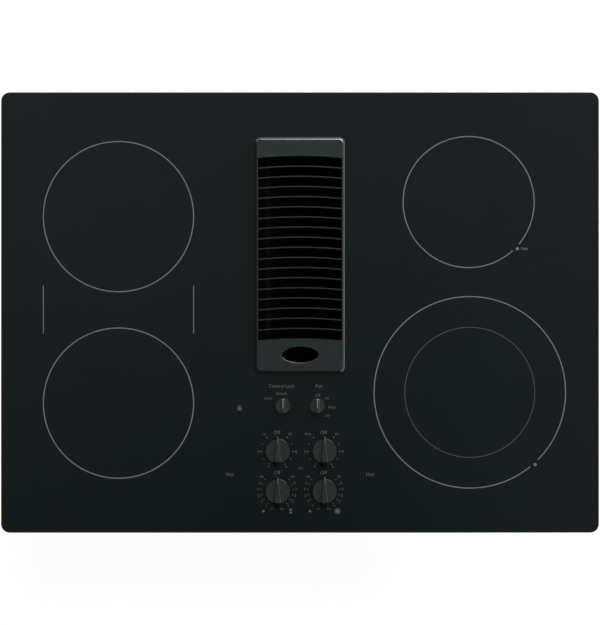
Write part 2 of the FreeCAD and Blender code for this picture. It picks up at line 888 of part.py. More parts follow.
def make_grille():
    half_x, half_y, slot_back, slot_front = grille_edges()
    body = add_body("vent_grille", 0, vent_y, glass_face)
    outline = add_sketch(body, "XY")
    draw_rectangle(outline, (-half_x, -half_y), (half_x, half_y))
    pad(body, outline, S.grille_height)
    dress(body, "Fillet", S.grille_corner, is_upright)
    dress(body, "Fillet", S.grille_edge_round, lambda edge: at_level(edge, S.grille_height))
    inner_x = half_x - grille_rail
    slots = add_sketch(body, "XY", S.grille_height)
    draw_bowed_strip(slots, inner_x, slot_back, slot_front, S.louver_bow)
    pocket(body, slots)
    underside = add_sketch(body, "XY")
    rib = grille_rail / 2
    back_low = slot_back + rib
    front_high = slot_front - S.louver_bow - rib
    draw_rectangle(underside, (-inner_x, back_low), (inner_x, half_y - grille_rail))
    draw_rectangle(underside, (-inner_x, grille_rail - half_y), (inner_x, front_high))
    pocket(body, underside, S.grille_height - S.grille_plate, back=True)
    finger = add_sketch(body, "XY", S.grille_height)
    centre = (0, S.finger_hole_inset - half_y)
    draw_ellipse(finger, centre, S.finger_hole_length / 2, S.finger_hole_width / 2)
    pocket(body, finger)
    dress(body, "Fillet", S.finger_hole_round,
          lambda edge: at_level(edge, S.grille_height) and isinstance(edge.Curve, Part.Ellipse))
    lugs = add_sketch(body, "XY", S.grille_height - S.grille_plate)
    edge = vent_length / 2 - S.lug_clearance
    for x in (-S.lug_spread / 2, S.lug_spread / 2):
        for side in (-1, 1):
            near, far = side * (edge - S.lug_thickness), side * edge
            low, high = (near, far) if side > 0 else (far, near)
            draw_rectangle(lugs, (x - S.lug_width / 2, low), (x + S.lug_width / 2, high))
    pad(body, lugs, S.grille_height - S.grille_plate + S.lug_depth, back=True)
    pitch = (slot_back - slot_front) / (LOUVERS + 1)
    blade = add_sketch(body, "XY", S.grille_height - S.grille_edge_round / 2)
    first = slot_back - pitch
    draw_bowed_strip(blade, louver_half, first + S.louver_thickness / 2,
                     first - S.louver_thickness / 2, S.louver_bow)
    louver = pad(body, blade, S.louver_depth, back=True)
    row = repeat(body, louver, "Linear", "Y_Axis", LOUVERS, Length=pitch * (LOUVERS - 1))
    row.Reversed = True


def leaning_box(label, start, span, thickness, length, lift=0):
    """A slab that leans as the filter does: from a start along its width, lifted off its underside."""
    lean = S.filter_lean_angle
    piece = doc.addObject("Part::Box", label)
    # This sets the axis alone: the sheet gives the angle
    piece.Placement = FreeCAD.Placement(FreeCAD.Vector(), FreeCAD.Rotation(ALONG, lean.number))
    bind(piece, Length=span, Width=length, Height=thickness)
    piece.setExpression("Placement.Rotation.Angle", lean.text)
    x = filter_left + start * cosine(lean) + lift * sine(lean)
    z = lift * cosine(lean) - start * sine(lean) - S.filter_drop
    return place(piece, x, vent_y - length / 2, z)


def make_filter():
    outer = leaning_box("filter_blank", 0, filter_width, S.filter_thickness, filter_length)
    window = leaning_box("filter_window", S.filter_rim, filter_width - 2 * S.filter_rim,
                         S.filter_thickness, filter_length - 2 * S.filter_rim)
    channel = leaning_box("filter_channel", S.filter_channel, filter_width - 2 * S.filter_channel,
                          S.filter_thickness - 2 * S.filter_channel,
                          filter_length - 2 * S.filter_channel, lift=S.filter_channel)
    opened = cut("filter_ring", outer, window)
    node(cut("filter_frame", opened, channel), "filter_frame")
    gap = S.filter_channel
    mesh = leaning_box("filter_mesh", gap, filter_width - 2 * gap, S.filter_thickness - 2 * gap,
                       filter_length - 2 * gap, lift=gap)
    node(mesh, "filter_mesh")


def make_chamber():
    top = glass_bottom
    outer = box("chamber_blank", (-chamber_outer_x, vent_y - chamber_outer_y, chamber_floor),
                (chamber_outer_x, vent_y + chamber_outer_y, top))
    flange_x, flange_y = chamber_outer_x + S.chamber_flange, chamber_outer_y + S.chamber_flange
    flange = box("chamber_flange", (-flange_x, vent_y - flange_y, top - S.chamber_sheet),
                 (flange_x, vent_y + flange_y, top))
    inner = box("chamber_inside", (-chamber_x, vent_y - chamber_y, chamber_floor + S.chamber_sheet),
                (chamber_x, vent_y + chamber_y, top + S.chamber_sheet))
    shell = cut("chamber_shell", fuse("chamber_outer", [outer, flange]), inner)
    slope = cosine(S.filter_lean_angle)
    length = filter_length - 2 * S.ledge_end_gap
    wall = chamber_x + S.chamber_sheet / 2
    gap = (filter_left + wall) / slope
    upper = leaning_box("upper_ledge", -gap, gap + S.ledge_length, S.ledge_sheet, length, lift=-S.ledge_sheet)
    far = filter_width - S.ledge_length
    tail = (wall - filter_left) / slope - filter_width
    lower = leaning_box("lower_ledge", far, S.ledge_length + tail, S.ledge_sheet, length, lift=-S.ledge_sheet)
    lip = leaning_box("ledge_lip", filter_width, S.ledge_sheet, S.ledge_lip, length,
                      lift=-S.ledge_sheet / 2)
    limits = box("ledge_limits", (-chamber_outer_x, vent_y - chamber_y, chamber_floor),
                 (chamber_outer_x, vent_y + chamber_y, top))
    ledges = doc.addObject("Part::Common", "ledges")
    ledges.Base = fuse("ledge_blank", [upper, lower, lip])
    ledges.Tool = limits
    through = chamber_outer_x + S.chamber_sheet
    eye = cylinder("chamber_eye", (0, blower_y, blower_z), S.eye_radius, through, "X")
    node(cut("vent_chamber", fuse("chamber_whole", [shell, ledges]), eye), "vent_chamber")


# Radiant units: dish, insulation board, ribbons and limiter
def make_unit(name, centre, angle, outline, wells, limiters, reach):
    """A dish and its board. The outline draws itself at an inset, the wells are the board's pockets."""
    dish = add_body(f"{name}_dish", *centre)
    board = add_body(f"{name}_insulation", *centre)
    for body in (dish, board):
        body.Placement = FreeCAD.Placement(body.Placement.Base, FreeCAD.Rotation(angle, 0, 0))
    sketch = add_sketch(dish, "XY", dish_bottom)
    outline(sketch, as_size(0))
    pad(dish, sketch, S.dish_height)
    inside = add_sketch(dish, "XY", dish_bottom + S.dish_height)
    outline(inside, S.dish_sheet)
    pocket(dish, inside, S.dish_height - S.dish_sheet)
    base = dish_bottom + S.dish_sheet
    sketch = add_sketch(board, "XY", base)
    outline(sketch, S.dish_sheet + S.board_gap)
    pad(board, sketch, glass_bottom - base)
    inside = add_sketch(board, "XY", glass_bottom)
    wells(inside)
    pocket(board, inside, S.board_pocket)
    level = board_floor + S.limiter_rise
    start = S.board_rim * 2 - reach
    for body in (dish, board):
        holes = add_sketch(body, "YZ", start - S.limiter_clearance)
        for across in limiters:
            draw_circle(holes, (across, level), S.limiter_radius + S.limiter_clearance)
        pocket(body, holes, 3 * reach, back=True)
    rods = []
    for across in limiters:
        rod = cylinder("limiter_rod", (start, across, level), S.limiter_radius,
                       2 * reach - 2 * S.board_rim, "X")
        top = glass_bottom - S.dish_rim_gap
        low = (reach, across - S.limiter_head_width / 2, top - S.limiter_head_height)
        high = (reach + S.limiter_head_length, across + S.limiter_head_width / 2, top)
        head = box("limiter_head", low, high)
        rods.append(fuse("limiter", [rod, head]))
    whole = doc.addObject("Part::Compound", f"{name}_limiters" if len(rods) > 1 else f"{name}_limiter")
    whole.Links = rods
    whole.Placement = FreeCAD.Placement(FreeCAD.Vector(), FreeCAD.Rotation(angle, 0, 0))
    place(whole, *centre)
    node(whole, whole.Name)


def ring_sector(radius, opening, thickness, height):
    """A standing strip bent to a circle, open by an angle each side of the local X axis."""
    inner, outer = radius - thickness / 2, radius + thickness / 2
    ends = []
    for r in (inner, outer):
        half = math.asin(opening / r)
        start = FreeCAD.Vector(r * math.cos(half), r * math.sin(half), 0)
        middle = FreeCAD.Vector(-r, 0, 0)
        end = FreeCAD.Vector(r * math.cos(half), -r * math.sin(half), 0)
        ends.append((start, middle, end))
    (a, b, c), (d, e, f) = ends
    edges = [Part.Arc(a, b, c).toShape(), Part.makeLine(c, f),
             Part.Arc(f, e, d).toShape(), Part.makeLine(d, a)]
    return Part.Face(Part.Wire(edges)).extrude(FreeCAD.Vector(0, 0, height))


def ribbon_rings(outermost, innermost):
    """A heater ribbon that runs round and back in nested turns, each joined to the next at one end."""
    pitch, thickness = S.ribbon_pitch.number, S.ribbon_thickness.number
    height, opening = S.ribbon_height.number, S.ribbon_opening.number
    turns = int((outermost - innermost) / pitch) + 1
    pieces = []
    for turn in range(turns):
        radius = outermost - turn * pitch
        pieces.append(ring_sector(radius, opening, thickness, height))
        if turn:
            side = 1 if turn % 2 else -1
            near = math.sqrt((radius - thickness / 2) ** 2 - opening ** 2)
            far = math.sqrt((radius + pitch + thickness / 2) ** 2 - opening ** 2)
            low = opening if side > 0 else -opening - thickness
            pieces.append(Part.makeBox(far - near, thickness, height, FreeCAD.Vector(near, low, 0)))
    return pieces[0].multiFuse(pieces[1:]).removeSplitter()


def ribbon_lines(half_length, half_span):
    """A heater ribbon that runs to and fro in straight lines across the bridge."""
    pitch, thickness = S.ribbon_pitch.number, S.ribbon_thickness.number
    height = S.ribbon_height.number
    lines = int(2 * half_span / pitch) + 1
    first = -pitch * (lines - 1) / 2
    pieces = []
    for line in range(lines):
        y = first + line * pitch - thickness / 2
        strip = Part.makeBox(2 * half_length, thickness, height, FreeCAD.Vector(-half_length, y, 0))
        pieces.append(strip)
        if line:
            x = half_length - thickness if line % 2 else -half_length
            pieces.append(Part.makeBox(thickness, pitch + thickness, height, FreeCAD.Vector(x, y - pitch, 0)))
    return pieces[0].multiFuse(pieces[1:]).removeSplitter()


def make_ribbons(label, centre, angle, placed):
    """Ribbons that stand on the board's pockets, each a shape and its offset from the unit's centre."""
    shapes = []
    for shape, offset in placed:
        shapes.append(shape.translated(FreeCAD.Vector(0, offset, 0)))
    whole = doc.addObject("Part::Feature", label)
    whole.Shape = Part.makeCompound(shapes) if len(shapes) > 1 else shapes[0]
    whole.Placement = FreeCAD.Placement(FreeCAD.Vector(), FreeCAD.Rotation(angle, 0, 0))
    place(whole, centre[0], centre[1], board_floor)
    node(whole, label)


def make_units():
    edge = S.ribbon_edge_gap.number
    core = S.ribbon_core.number
    left_centre = (left_x, left_y)
    left_reach_out = left_radius + S.dish_margin
    well = left_reach_out - S.dish_sheet - S.board_gap - S.board_rim
    bridge_half = left_reach - well - S.divider_wall

    def left_outline(sketch, inset):
        draw_stadium(sketch, (0, 0), left_reach, left_reach_out - inset)

    def left_wells(sketch):
        for side in (-1, 1):
            draw_circle(sketch, (0, side * left_reach), well)
        draw_rectangle(sketch, (-well, -bridge_half), (well, bridge_half))

    make_unit("left", left_centre, 0, left_outline, left_wells, (-left_reach, left_reach), left_reach_out)
    round_ribbon = ribbon_rings(well.number - edge, core)
    bridge_ribbon = ribbon_lines(well.number - edge, bridge_half.number - edge)
    make_ribbons("left_ribbons", left_centre, 0,
                 [(round_ribbon, -left_reach.number), (bridge_ribbon, 0),
                  (round_ribbon.copy(), left_reach.number)])

    rear_reach = right_rear_radius + S.dish_margin
    rear_well = rear_reach - S.dish_sheet - S.board_gap - S.board_rim
    rear_centre = (right_x, right_rear_y)
    make_unit("right_rear", rear_centre, 180,
              lambda sketch, inset: draw_circle(sketch, (0, 0), rear_reach - inset),
              lambda sketch: draw_circle(sketch, (0, 0), rear_well), (as_size(0),), rear_reach)
    make_ribbons("right_rear_ribbon", rear_centre, 180, [(ribbon_rings(rear_well.number - edge, core), 0)])

    front_reach = right_front_radius + S.dish_margin
    front_well = front_reach - S.dish_sheet - S.board_gap - S.board_rim
    inner_well = right_inner_radius - S.divider_wall / 2
    outer_start = right_inner_radius + S.divider_wall / 2
    front_centre = (right_x, right_front_y)

    def front_wells(sketch):
        for radius in (front_well, outer_start, inner_well):
            draw_circle(sketch, (0, 0), radius)

    make_unit("right_front", front_centre, -45,
              lambda sketch, inset: draw_circle(sketch, (0, 0), front_reach - inset),
              front_wells, (as_size(0),), front_reach)
    make_ribbons("right_front_ribbons", front_centre, -45,
                 [(ribbon_rings(front_well.number - edge, outer_start.number + edge / 2), 0),
                  (ribbon_rings(inner_well.number - edge, core), 0)])


def hat_section(half, foot, metal, low, high):
    """The outline of an upside-down channel with feet turned out."""
    return [(-half - foot, low), (-half + metal, low), (-half + metal, high - metal),
            (half - metal, high - metal), (half - metal, low), (half + foot, low),
            (half + foot, low + metal), (half, low + metal), (half, high),
            (-half, high), (-half, low + metal), (-half - foot, low + metal)]


def make_rails():
    length = 2 * (box_y - S.box_sheet - S.box_floor_round - S.rail_end_gap)
    rails = []
    for label, x in (("left_rail", left_x), ("right_rail", right_x)):
        rail = doc.addObject("PartDesign::Body", label)
        place(rail, x, 0, 0)
        sketch = add_sketch(rail, "XZ")
        draw_polygon(sketch, hat_section(S.rail_width / 2, S.rail_foot, S.rail_sheet, box_floor, dish_bottom))
        pad(rail, sketch, length, both=True)
        rails.append(rail)
    group("element_rails", rails)


# Controls: bracket, switches, shafts, sleeves and knobs
def lamp_places():
    hot_y = front_row_y + S.hot_lamp_rise
    half = S.hot_lamp_spread / 2
    on_y = (front_row_y + rear_row_y) / 2
    return [(-half, hot_y), (half, hot_y), (-S.lock_lamp_reach, small_row_y), (S.panel_offset, on_y)]


def make_bracket():
    front = S.box_sheet + S.bracket_front_gap - box_y
    back = small_row_y + S.bracket_back_margin
    body = add_body("control_bracket", S.panel_offset, 0, 0)
    section = add_sketch(body, "XZ", -back)
    half = S.bracket_width / 2
    draw_polygon(section, hat_section(half, S.bracket_foot, S.bracket_sheet, box_floor, bracket_top))
    pad(body, section, back - front)
    wings = add_sketch(body, "XY", bracket_under)
    for x, y in lamp_places()[:3]:
        inward = S.bracket_sheet - half if x.number < 0 else half - S.bracket_sheet
        outward = x - S.panel_offset + (-S.wing_reach if x.number < 0 else S.wing_reach)
        low, high = (outward, inward) if x.number < 0 else (inward, outward)
        draw_rectangle(wings, (low, y - S.wing_width / 2), (high, y + S.wing_width / 2))
    pad(body, wings, S.bracket_sheet)
    holes = add_sketch(body, "XY", bracket_top)
    for _, x, y, _ in knob_places():
        draw_circle(holes, (x - S.panel_offset, y), S.bushing_radius + S.bushing_clearance)
    pocket(body, holes, 2 * S.bracket_sheet)
    feet = add_sketch(body, "XY", box_floor + S.bracket_sheet)
    for x, y in bracket_feet():
        draw_circle(feet, (x - S.panel_offset, y), screw_hole)
    pocket(body, feet, 2 * S.bracket_sheet)


def shaft_end(small):
    """The shaft's lower end, and the bore's floor that it stays clear of."""
    low = bracket_under - S.shaft_engagement
    travel = as_size(0) if small else S.push_travel
    return low, low - travel - S.shaft_floor_gap


def make_switch(name, x, y, small):
    width = S.small_switch_width if small else S.switch_width
    depth = S.small_switch_depth if small else S.switch_depth
    height = S.small_switch_height if small else S.switch_height
    body = add_body(f"{name}_switch", x, y, bracket_under)
    case = add_sketch(body, "XY")
    draw_rectangle(case, (-width / 2, -depth / 2), (width / 2, depth / 2))
    pad(body, case, height, back=True)
    dress(body, "Fillet", S.switch_corner, is_upright)
    bushing = add_sketch(body, "XY")
    draw_circle(bushing, (0, 0), S.bushing_radius)
    pad(body, bushing, bushing_top - bracket_under)
    bore = add_sketch(body, "XY", bushing_top - bracket_under)
    draw_circle(bore, (0, 0), S.shaft_radius + S.shaft_clearance)
    pocket(body, bore, bushing_top - shaft_end(small)[1])
    tabs = []
    for side, row in mirrored((-1, 1)):
        tab_x = x + side * (width / 2 - S.terminal_inset)
        tab_y = y + row * (depth / 2 - S.terminal_inset)
        low = (tab_x - S.terminal_thickness / 2, tab_y - S.terminal_width / 2,
               bracket_under - height - S.terminal_length)
        high = (tab_x + S.terminal_thickness / 2, tab_y + S.terminal_width / 2, bracket_under - height)
        tabs.append(box("terminal", low, high))
    return tabs


def knob_floor(small):
    """The underside of the knob, which leaves room for its push."""
    return glass_face + S.knob_clearance if small else knob_bottom


def make_shaft(name, x, y, small):
    low = shaft_end(small)[0]
    high = knob_floor(small) + S.knob_bore_depth
    body = add_body(f"{name}_shaft", x, y, low)
    rod = add_sketch(body, "XY")
    draw_circle(rod, (0, 0), S.shaft_radius)
    pad(body, rod, high - low)
    flat = add_sketch(body, "XY", high - low)
    edge = S.shaft_radius - S.shaft_flat
    draw_rectangle(flat, (-2 * S.shaft_radius, edge), (2 * S.shaft_radius, 2 * S.shaft_radius))
    pocket(body, flat, S.knob_bore_depth)
    if not small:
        collar = add_sketch(body, "XY", sleeve_top - low)
        draw_circle(collar, (0, 0), S.shaft_collar_radius)
        pad(body, collar, S.shaft_collar_height)


def make_sleeve(name, x, y):
    body = add_body(f"{name}_sleeve", x, y, sleeve_bottom)
    ring = add_sketch(body, "XY")
    draw_circle(ring, (0, 0), S.sleeve_radius)
    draw_circle(ring, (0, 0), S.shaft_radius + S.shaft_clearance)
    pad(body, ring, S.sleeve_height)


def knob_bore(body):
    """A D-shaped hole up from the knob's underside that takes the shaft."""
    bore = add_sketch(body, "XY")
    edge = S.shaft_radius - S.shaft_flat
    half = math.degrees(math.acos(edge.number / S.shaft_radius.number))
    arc = add_arc(bore, (0, 0), S.shaft_radius, 90 + half, 450 - half)
    pin(bore, arc, 3, (0, 0))
    constrain(bore, "Radius", arc, value=S.shaft_radius)
    ends = [FreeCAD.Vector(side * S.shaft_radius.number * math.sin(math.radians(half)), edge.number, 0)
            for side in (1, -1)]
    line = bore.addGeometry(Part.LineSegment(*ends))
    join(bore, arc, 2, line, 1)
    join(bore, line, 2, arc, 1)
    constrain(bore, "DistanceY", -1, 1, line, 1, value=edge)
    constrain(bore, "DistanceY", -1, 1, line, 2, value=edge)
    pocket(body, bore, S.knob_bore_depth, back=True)


def make_knob(name, x, y):
    """A push-to-turn knob: a flat round skirt under a tapered grip with a pointer at its back end."""
    body = add_body(f"{name}_knob", x, y, knob_bottom)
    profile = add_sketch(body, "XZ")
    draw_polygon(profile, [(0, 0), (S.knob_radius, 0), (S.knob_radius, S.knob_skirt_edge),
                           (S.knob_radius - S.knob_skirt_edge / 2, S.knob_skirt_height),
                           (0, S.knob_skirt_height)])
    turn(body, profile, "V_Axis")
    top = S.knob_skirt_height + S.grip_height
    foot = add_sketch(body, "XY", S.knob_skirt_edge)
    crest = add_sketch(body, "XY", top)
    crest_back = S.grip_tip_reach - S.grip_tip_slope
    crest_front = S.grip_heel_slope - S.grip_heel_reach
    draw_wedge(foot, S.grip_tip_width, S.grip_heel_width, S.grip_tip_reach, -S.grip_heel_reach,
               S.grip_heel_bulge)
    draw_wedge(crest, S.crest_tip_width, S.crest_heel_width, crest_back, crest_front, S.crest_heel_bulge)
    grip = body.newObject("PartDesign::AdditiveLoft", f"{body.Name}_grip")
    grip.Profile = foot
    grip.Sections = [crest]
    grip.Ruled = True
    body.Tip = grip
    dress(body, "Fillet", S.crest_round, lambda edge: at_level(edge, top))
    knob_bore(body)


def make_small_knob(name, x, y):
    """A knob that only turns: a fluted, tapered skirt under a bar grip."""
    body = add_body(f"{name}_knob", x, y, knob_floor(True))
    profile = add_sketch(body, "XZ")
    radius, crown = S.small_knob_radius, S.small_knob_radius - S.small_skirt_draft
    draw_polygon(profile, [(0, 0), (radius, 0), (radius, S.small_knob_edge), (crown, S.small_skirt_height),
                           (0, S.small_skirt_height)])
    turn(body, profile, "V_Axis")
    flute = add_sketch(body, "XY", S.small_skirt_height)
    draw_circle(flute, (radius - S.flute_inset, 0), S.flute_radius)
    groove = pocket(body, flute, S.small_skirt_height - S.small_knob_edge)
    repeat(body, groove, "Polar", "Z_Axis", KNOB_FLUTES, Angle=360)
    grip = add_sketch(body, "XY", S.small_skirt_height / 2)
    reach = (S.small_grip_length - S.small_grip_width) / 2
    draw_stadium(grip, (0, 0), reach, S.small_grip_width / 2)
    pad(body, grip, S.small_grip_height + S.small_skirt_height / 2)
    top = S.small_grip_height + S.small_skirt_height
    dress(body, "Fillet", S.small_knob_round, lambda edge: at_level(edge, top))
    knob_bore(body)


def make_controls():
    make_bracket()
    tabs = []
    for name, x, y, small in knob_places():
        tabs += make_switch(name, x, y, small)
        make_shaft(name, x, y, small)
        if small:
            make_small_knob(name, x, y)
        else:
            make_sleeve(name, x, y)
            make_knob(name, x, y)
    group("switch_terminals", tabs)
    lamps = []
    for x, y in lamp_places():
        height = glass_bottom - S.lamp_gap - bracket_top
        lamps.append(cylinder("lamp", (x, y, bracket_top), S.lamp_radius, height))
    group("indicator_lamps", lamps)


# Junction box under the pan
def make_junction():
    left, right, front, back = junction_span()
    top = box_bottom
    low = top - S.junction_height
    body = add_body("junction_box")
    outline = add_sketch(body, "XY", top)
    draw_rectangle(outline, (left, front), (right, back))
    pad(body, outline, S.junction_height, back=True)
    hollow(body, S.junction_sheet, lambda face: lies_at(face, low))
    wires = add_sketch(body, "XY", top)
    draw_circle(wires, ((left + right) / 2, front + S.junction_depth / 4), S.wire_hole_radius)
    pocket(body, wires, 2 * S.junction_sheet)
    conduit = add_sketch(body, "YZ", left)
    draw_circle(conduit, (back - S.junction_depth / 2, top - S.junction_height / 2), S.conduit_radius)
    pocket(body, conduit, 2 * S.junction_sheet, back=True)
    cover = add_body("junction_cover")
    plate = add_sketch(cover, "XY", low)
    draw_rectangle(plate, (left, front), (right, back))
    pad(cover, plate, S.junction_sheet, back=True)
    lip = add_sketch(cover, "XY", low)
    rim = S.junction_sheet + S.box_clearance
    draw_rectangle(lip, (left + rim, front + rim), (right - rim, back - rim))
    draw_rectangle(lip, (left + 2 * rim, front + 2 * rim), (right - 2 * rim, back - 2 * rim))
    pad(cover, lip, S.block_rib_height)
    block = add_body("terminal_block")
    shelf = top - S.junction_sheet
    centre_x, block_y = (left + right) / 2, back - S.junction_depth / 4
    base = add_sketch(block, "XY", shelf)
    draw_rectangle(base, (centre_x - S.block_width / 2, block_y - S.block_depth / 2),
                   (centre_x + S.block_width / 2, block_y + S.block_depth / 2))
    pad(block, base, S.block_height, back=True)
    ribs = add_sketch(block, "XY", shelf - S.block_height)
    pitch = (S.block_width - S.block_rib) / (BLOCK_RIBS - 1)
    for step in range(BLOCK_RIBS):
        x = centre_x - S.block_width / 2 + step * pitch
        draw_rectangle(ribs, (x, block_y - S.block_depth / 2), (x + S.block_rib, block_y + S.block_depth / 2))
    pad(block, ribs, S.block_rib_height, back=True)


# Blower: scroll, wheel, motor and outlet
def neck_span(inset):
    """The front and back of the scroll's neck, an inset inside its outer faces."""
    start, growth = scroll_start.number, S.scroll_growth.number
    front = blower_y.number + (start - inset) * math.cos(TONGUE) + inset
    return front, blower_y.number + start + 3 * growth - inset


def scroll_outline(inset, x, depth):
    """The volute: three quarter circles, each wider than the last, a tongue and a straight neck down."""
    start, growth = scroll_start.number, S.scroll_growth.number
    radii = [start + step * growth - inset for step in range(3)]
    centres = [(0, 0), (growth, 0), (growth, -growth)]
    front, back = neck_span(inset)
    level = neck_bottom.number

    def at(index, angle):
        y, z = centres[index]
        return FreeCAD.Vector(x, blower_y.number + y + radii[index] * math.cos(angle),
                              blower_z.number + z + radii[index] * math.sin(angle))

    quarter = math.pi / 2
    edges = []
    for index, begin, end in ((0, TONGUE, -quarter), (0, -quarter, -math.pi), (1, math.pi, quarter),
                              (2, quarter, 0)):
        arc = Part.Arc(*[at(index, angle) for angle in (begin, (begin + end) / 2, end)])
        edges.append(arc.toShape())
    tip = at(0, TONGUE)
    route = [at(2, 0), FreeCAD.Vector(x, back, level), FreeCAD.Vector(x, front, level),
             FreeCAD.Vector(x, front, tip.z), tip]
    edges += [Part.makeLine(a, b) for a, b in zip(route, route[1:]) if (b - a).Length > NEAR]
    face = Part.Face(Part.Wire(Part.__sortEdges__(edges)))
    return face.extrude(FreeCAD.Vector(depth, 0, 0))


def disc(radius, x, depth):
    spot = FreeCAD.Vector(x, blower_y.number, blower_z.number)
    return Part.makeCylinder(radius, depth, spot, ACROSS)


def fixed_shape(label, shape):
    """A piece whose form is worked out from the sizes, because no feature draws it."""
    piece = doc.addObject("Part::Feature", label)
    piece.Shape = shape
    return node(piece, label)


def make_scroll():
    metal = S.scroll_sheet.number
    near, far, back = scroll_near.number, scroll_far.number, scroll_back.number
    outside = scroll_outline(0, near, back - near)
    inside = scroll_outline(metal, near - metal, far - near + metal)
    mouth_front, mouth_back = neck_span(metal)
    mouth = Part.makeBox(far - near, mouth_back - mouth_front, 3 * metal,
                         FreeCAD.Vector(near, mouth_front, neck_bottom.number - metal))
    port = disc(S.motor_boss_radius.number + S.motor_round.number, far - metal, 3 * metal)
    holes = [Part.makeCylinder(screw_hole.number, 4 * metal, FreeCAD.Vector(far - metal, y.number, z.number),
                               ACROSS) for y, z in spider_feet()]
    fixed_shape("scroll_housing", outside.cut([inside, mouth, port] + holes))
    plate = scroll_outline(0, inlet_face.number, metal)
    eye = S.eye_radius.number
    lip = disc(eye + metal, near, S.eye_lip.number)
    plate = plate.fuse(lip).cut(disc(eye, inlet_face.number - metal, 4 * metal + S.eye_lip.number))
    fixed_shape("inlet_plate", plate.removeSplitter())


def make_wheel():
    body = add_body("blower_wheel", wheel_near, blower_y, blower_z)
    inner = S.wheel_radius - S.wheel_rim_depth
    plate = add_sketch(body, "YZ", S.wheel_width - S.wheel_sheet)
    draw_circle(plate, (0, 0), S.wheel_radius)
    pad(body, plate, S.wheel_sheet)
    hub = add_sketch(body, "YZ", S.wheel_width - S.wheel_sheet)
    draw_circle(hub, (0, 0), S.hub_radius)
    pad(body, hub, S.hub_length, back=True)
    rim = add_sketch(body, "YZ")
    draw_circle(rim, (0, 0), S.wheel_radius)
    draw_circle(rim, (0, 0), inner)
    pad(body, rim, S.wheel_sheet)
    blade = add_sketch(body, "YZ")
    centre = (inner + S.wheel_rim_depth / 2, S.blade_radius)
    radii = (S.blade_radius, S.blade_radius - S.blade_thickness)
    arcs = []
    for radius in radii:
        arc = add_arc(blade, centre, radius, *BLADE_ANGLES)
        pin(blade, arc, 3, centre)
        constrain(blade, "Radius", arc, value=radius)
        arcs.append(arc)
    for end, angle in enumerate(BLADE_ANGLES, 1):
        out, up = math.cos(math.radians(angle)), math.sin(math.radians(angle))
        spots = [vector((centre[0] + radius * out, centre[1] + radius * up)) for radius in radii]
        line = blade.addGeometry(Part.LineSegment(*spots))
        join(blade, line, 1, arcs[0], end)
        join(blade, line, 2, arcs[1], end)
        for arc, radius in zip(arcs, radii):
            constrain(blade, "DistanceX", arc, 3, arc, end, value=radius * out)
    fin = pad(body, blade, S.wheel_width)
    repeat(body, fin, "Polar", "X_Axis", BLADES, Angle=360)
    bore = add_sketch(body, "YZ")
    draw_circle(bore, (0, 0), S.motor_shaft_radius)
    pocket(body, bore, 2 * S.wheel_width, back=True)
    low = wheel_far - S.wheel_sheet - S.hub_length
    shaft = cylinder("motor_shaft", (low, blower_y, blower_z), S.motor_shaft_radius,
                     motor_face + S.motor_length / 2 - low, "X")
    node(shaft, "motor_shaft")


def spider_feet():
    """Screw places in the feet of the motor's spider."""
    reach = S.spider_arm_reach + S.spider_foot / 2 + S.spider_sheet / 2
    angles = [math.radians(90 + 360 / SPIDER_ARMS * arm) for arm in range(SPIDER_ARMS)]
    return [(blower_y + reach * math.cos(angle), blower_z + reach * math.sin(angle)) for angle in angles]


def make_motor():
    body = add_body("motor", motor_face, blower_y, blower_z)
    profile = add_sketch(body, "XZ")
    bevel = S.motor_round
    draw_polygon(profile, [(-S.motor_boss_length, 0), (-S.motor_boss_length, S.motor_boss_radius),
                           (0, S.motor_boss_radius), (0, S.motor_radius - bevel), (bevel, S.motor_radius),
                           (S.motor_length - bevel, S.motor_radius),
                           (S.motor_length, S.motor_radius - bevel), (S.motor_length, 0)])
    turn(body, profile, "H_Axis")
    slot = add_sketch(body, "XY", S.motor_radius)
    middle = S.motor_length / 2
    reach = (S.motor_slot_length - S.motor_slot_width) / 2
    draw_stadium(slot, (middle, 0), reach, S.motor_slot_width / 2, upright=False)
    vent = pocket(body, slot, S.motor_slot_depth)
    repeat(body, vent, "Polar", "X_Axis", MOTOR_SLOTS, Angle=360)
    bearing = add_sketch(body, "YZ", -S.motor_boss_length)
    draw_circle(bearing, (0, 0), S.motor_shaft_radius + S.motor_bearing_clearance)
    pocket(body, bearing, S.motor_boss_length + S.motor_length / 2 + S.shaft_floor_gap, back=True)

    spider = add_body("motor_bracket", scroll_back, blower_y, blower_z)
    metal, stand = S.spider_sheet, S.motor_standoff
    ring = add_sketch(spider, "YZ", stand - metal)
    draw_circle(ring, (0, 0), S.motor_radius - bevel)
    draw_circle(ring, (0, 0), S.motor_boss_radius + S.box_clearance)
    pad(spider, ring, metal)
    arm = add_sketch(spider, "XZ")
    reach = S.spider_arm_reach
    start = (S.motor_radius - bevel) / 2 + S.motor_boss_radius / 2
    draw_polygon(arm, [(stand - metal, start), (stand, start), (stand, reach + metal), (metal, reach + metal),
                       (metal, reach + metal + S.spider_foot), (0, reach + metal + S.spider_foot), (0, reach),
                       (stand - metal, reach)])
    limb = pad(spider, arm, S.spider_arm_width, both=True)
    repeat(spider, limb, "Polar", "X_Axis", SPIDER_ARMS, Angle=360)
    hole = add_sketch(spider, "YZ", metal)
    for y, z in spider_feet():
        draw_circle(hole, (y - blower_y, z - blower_z), screw_hole)
    pocket(spider, hole, 2 * metal)


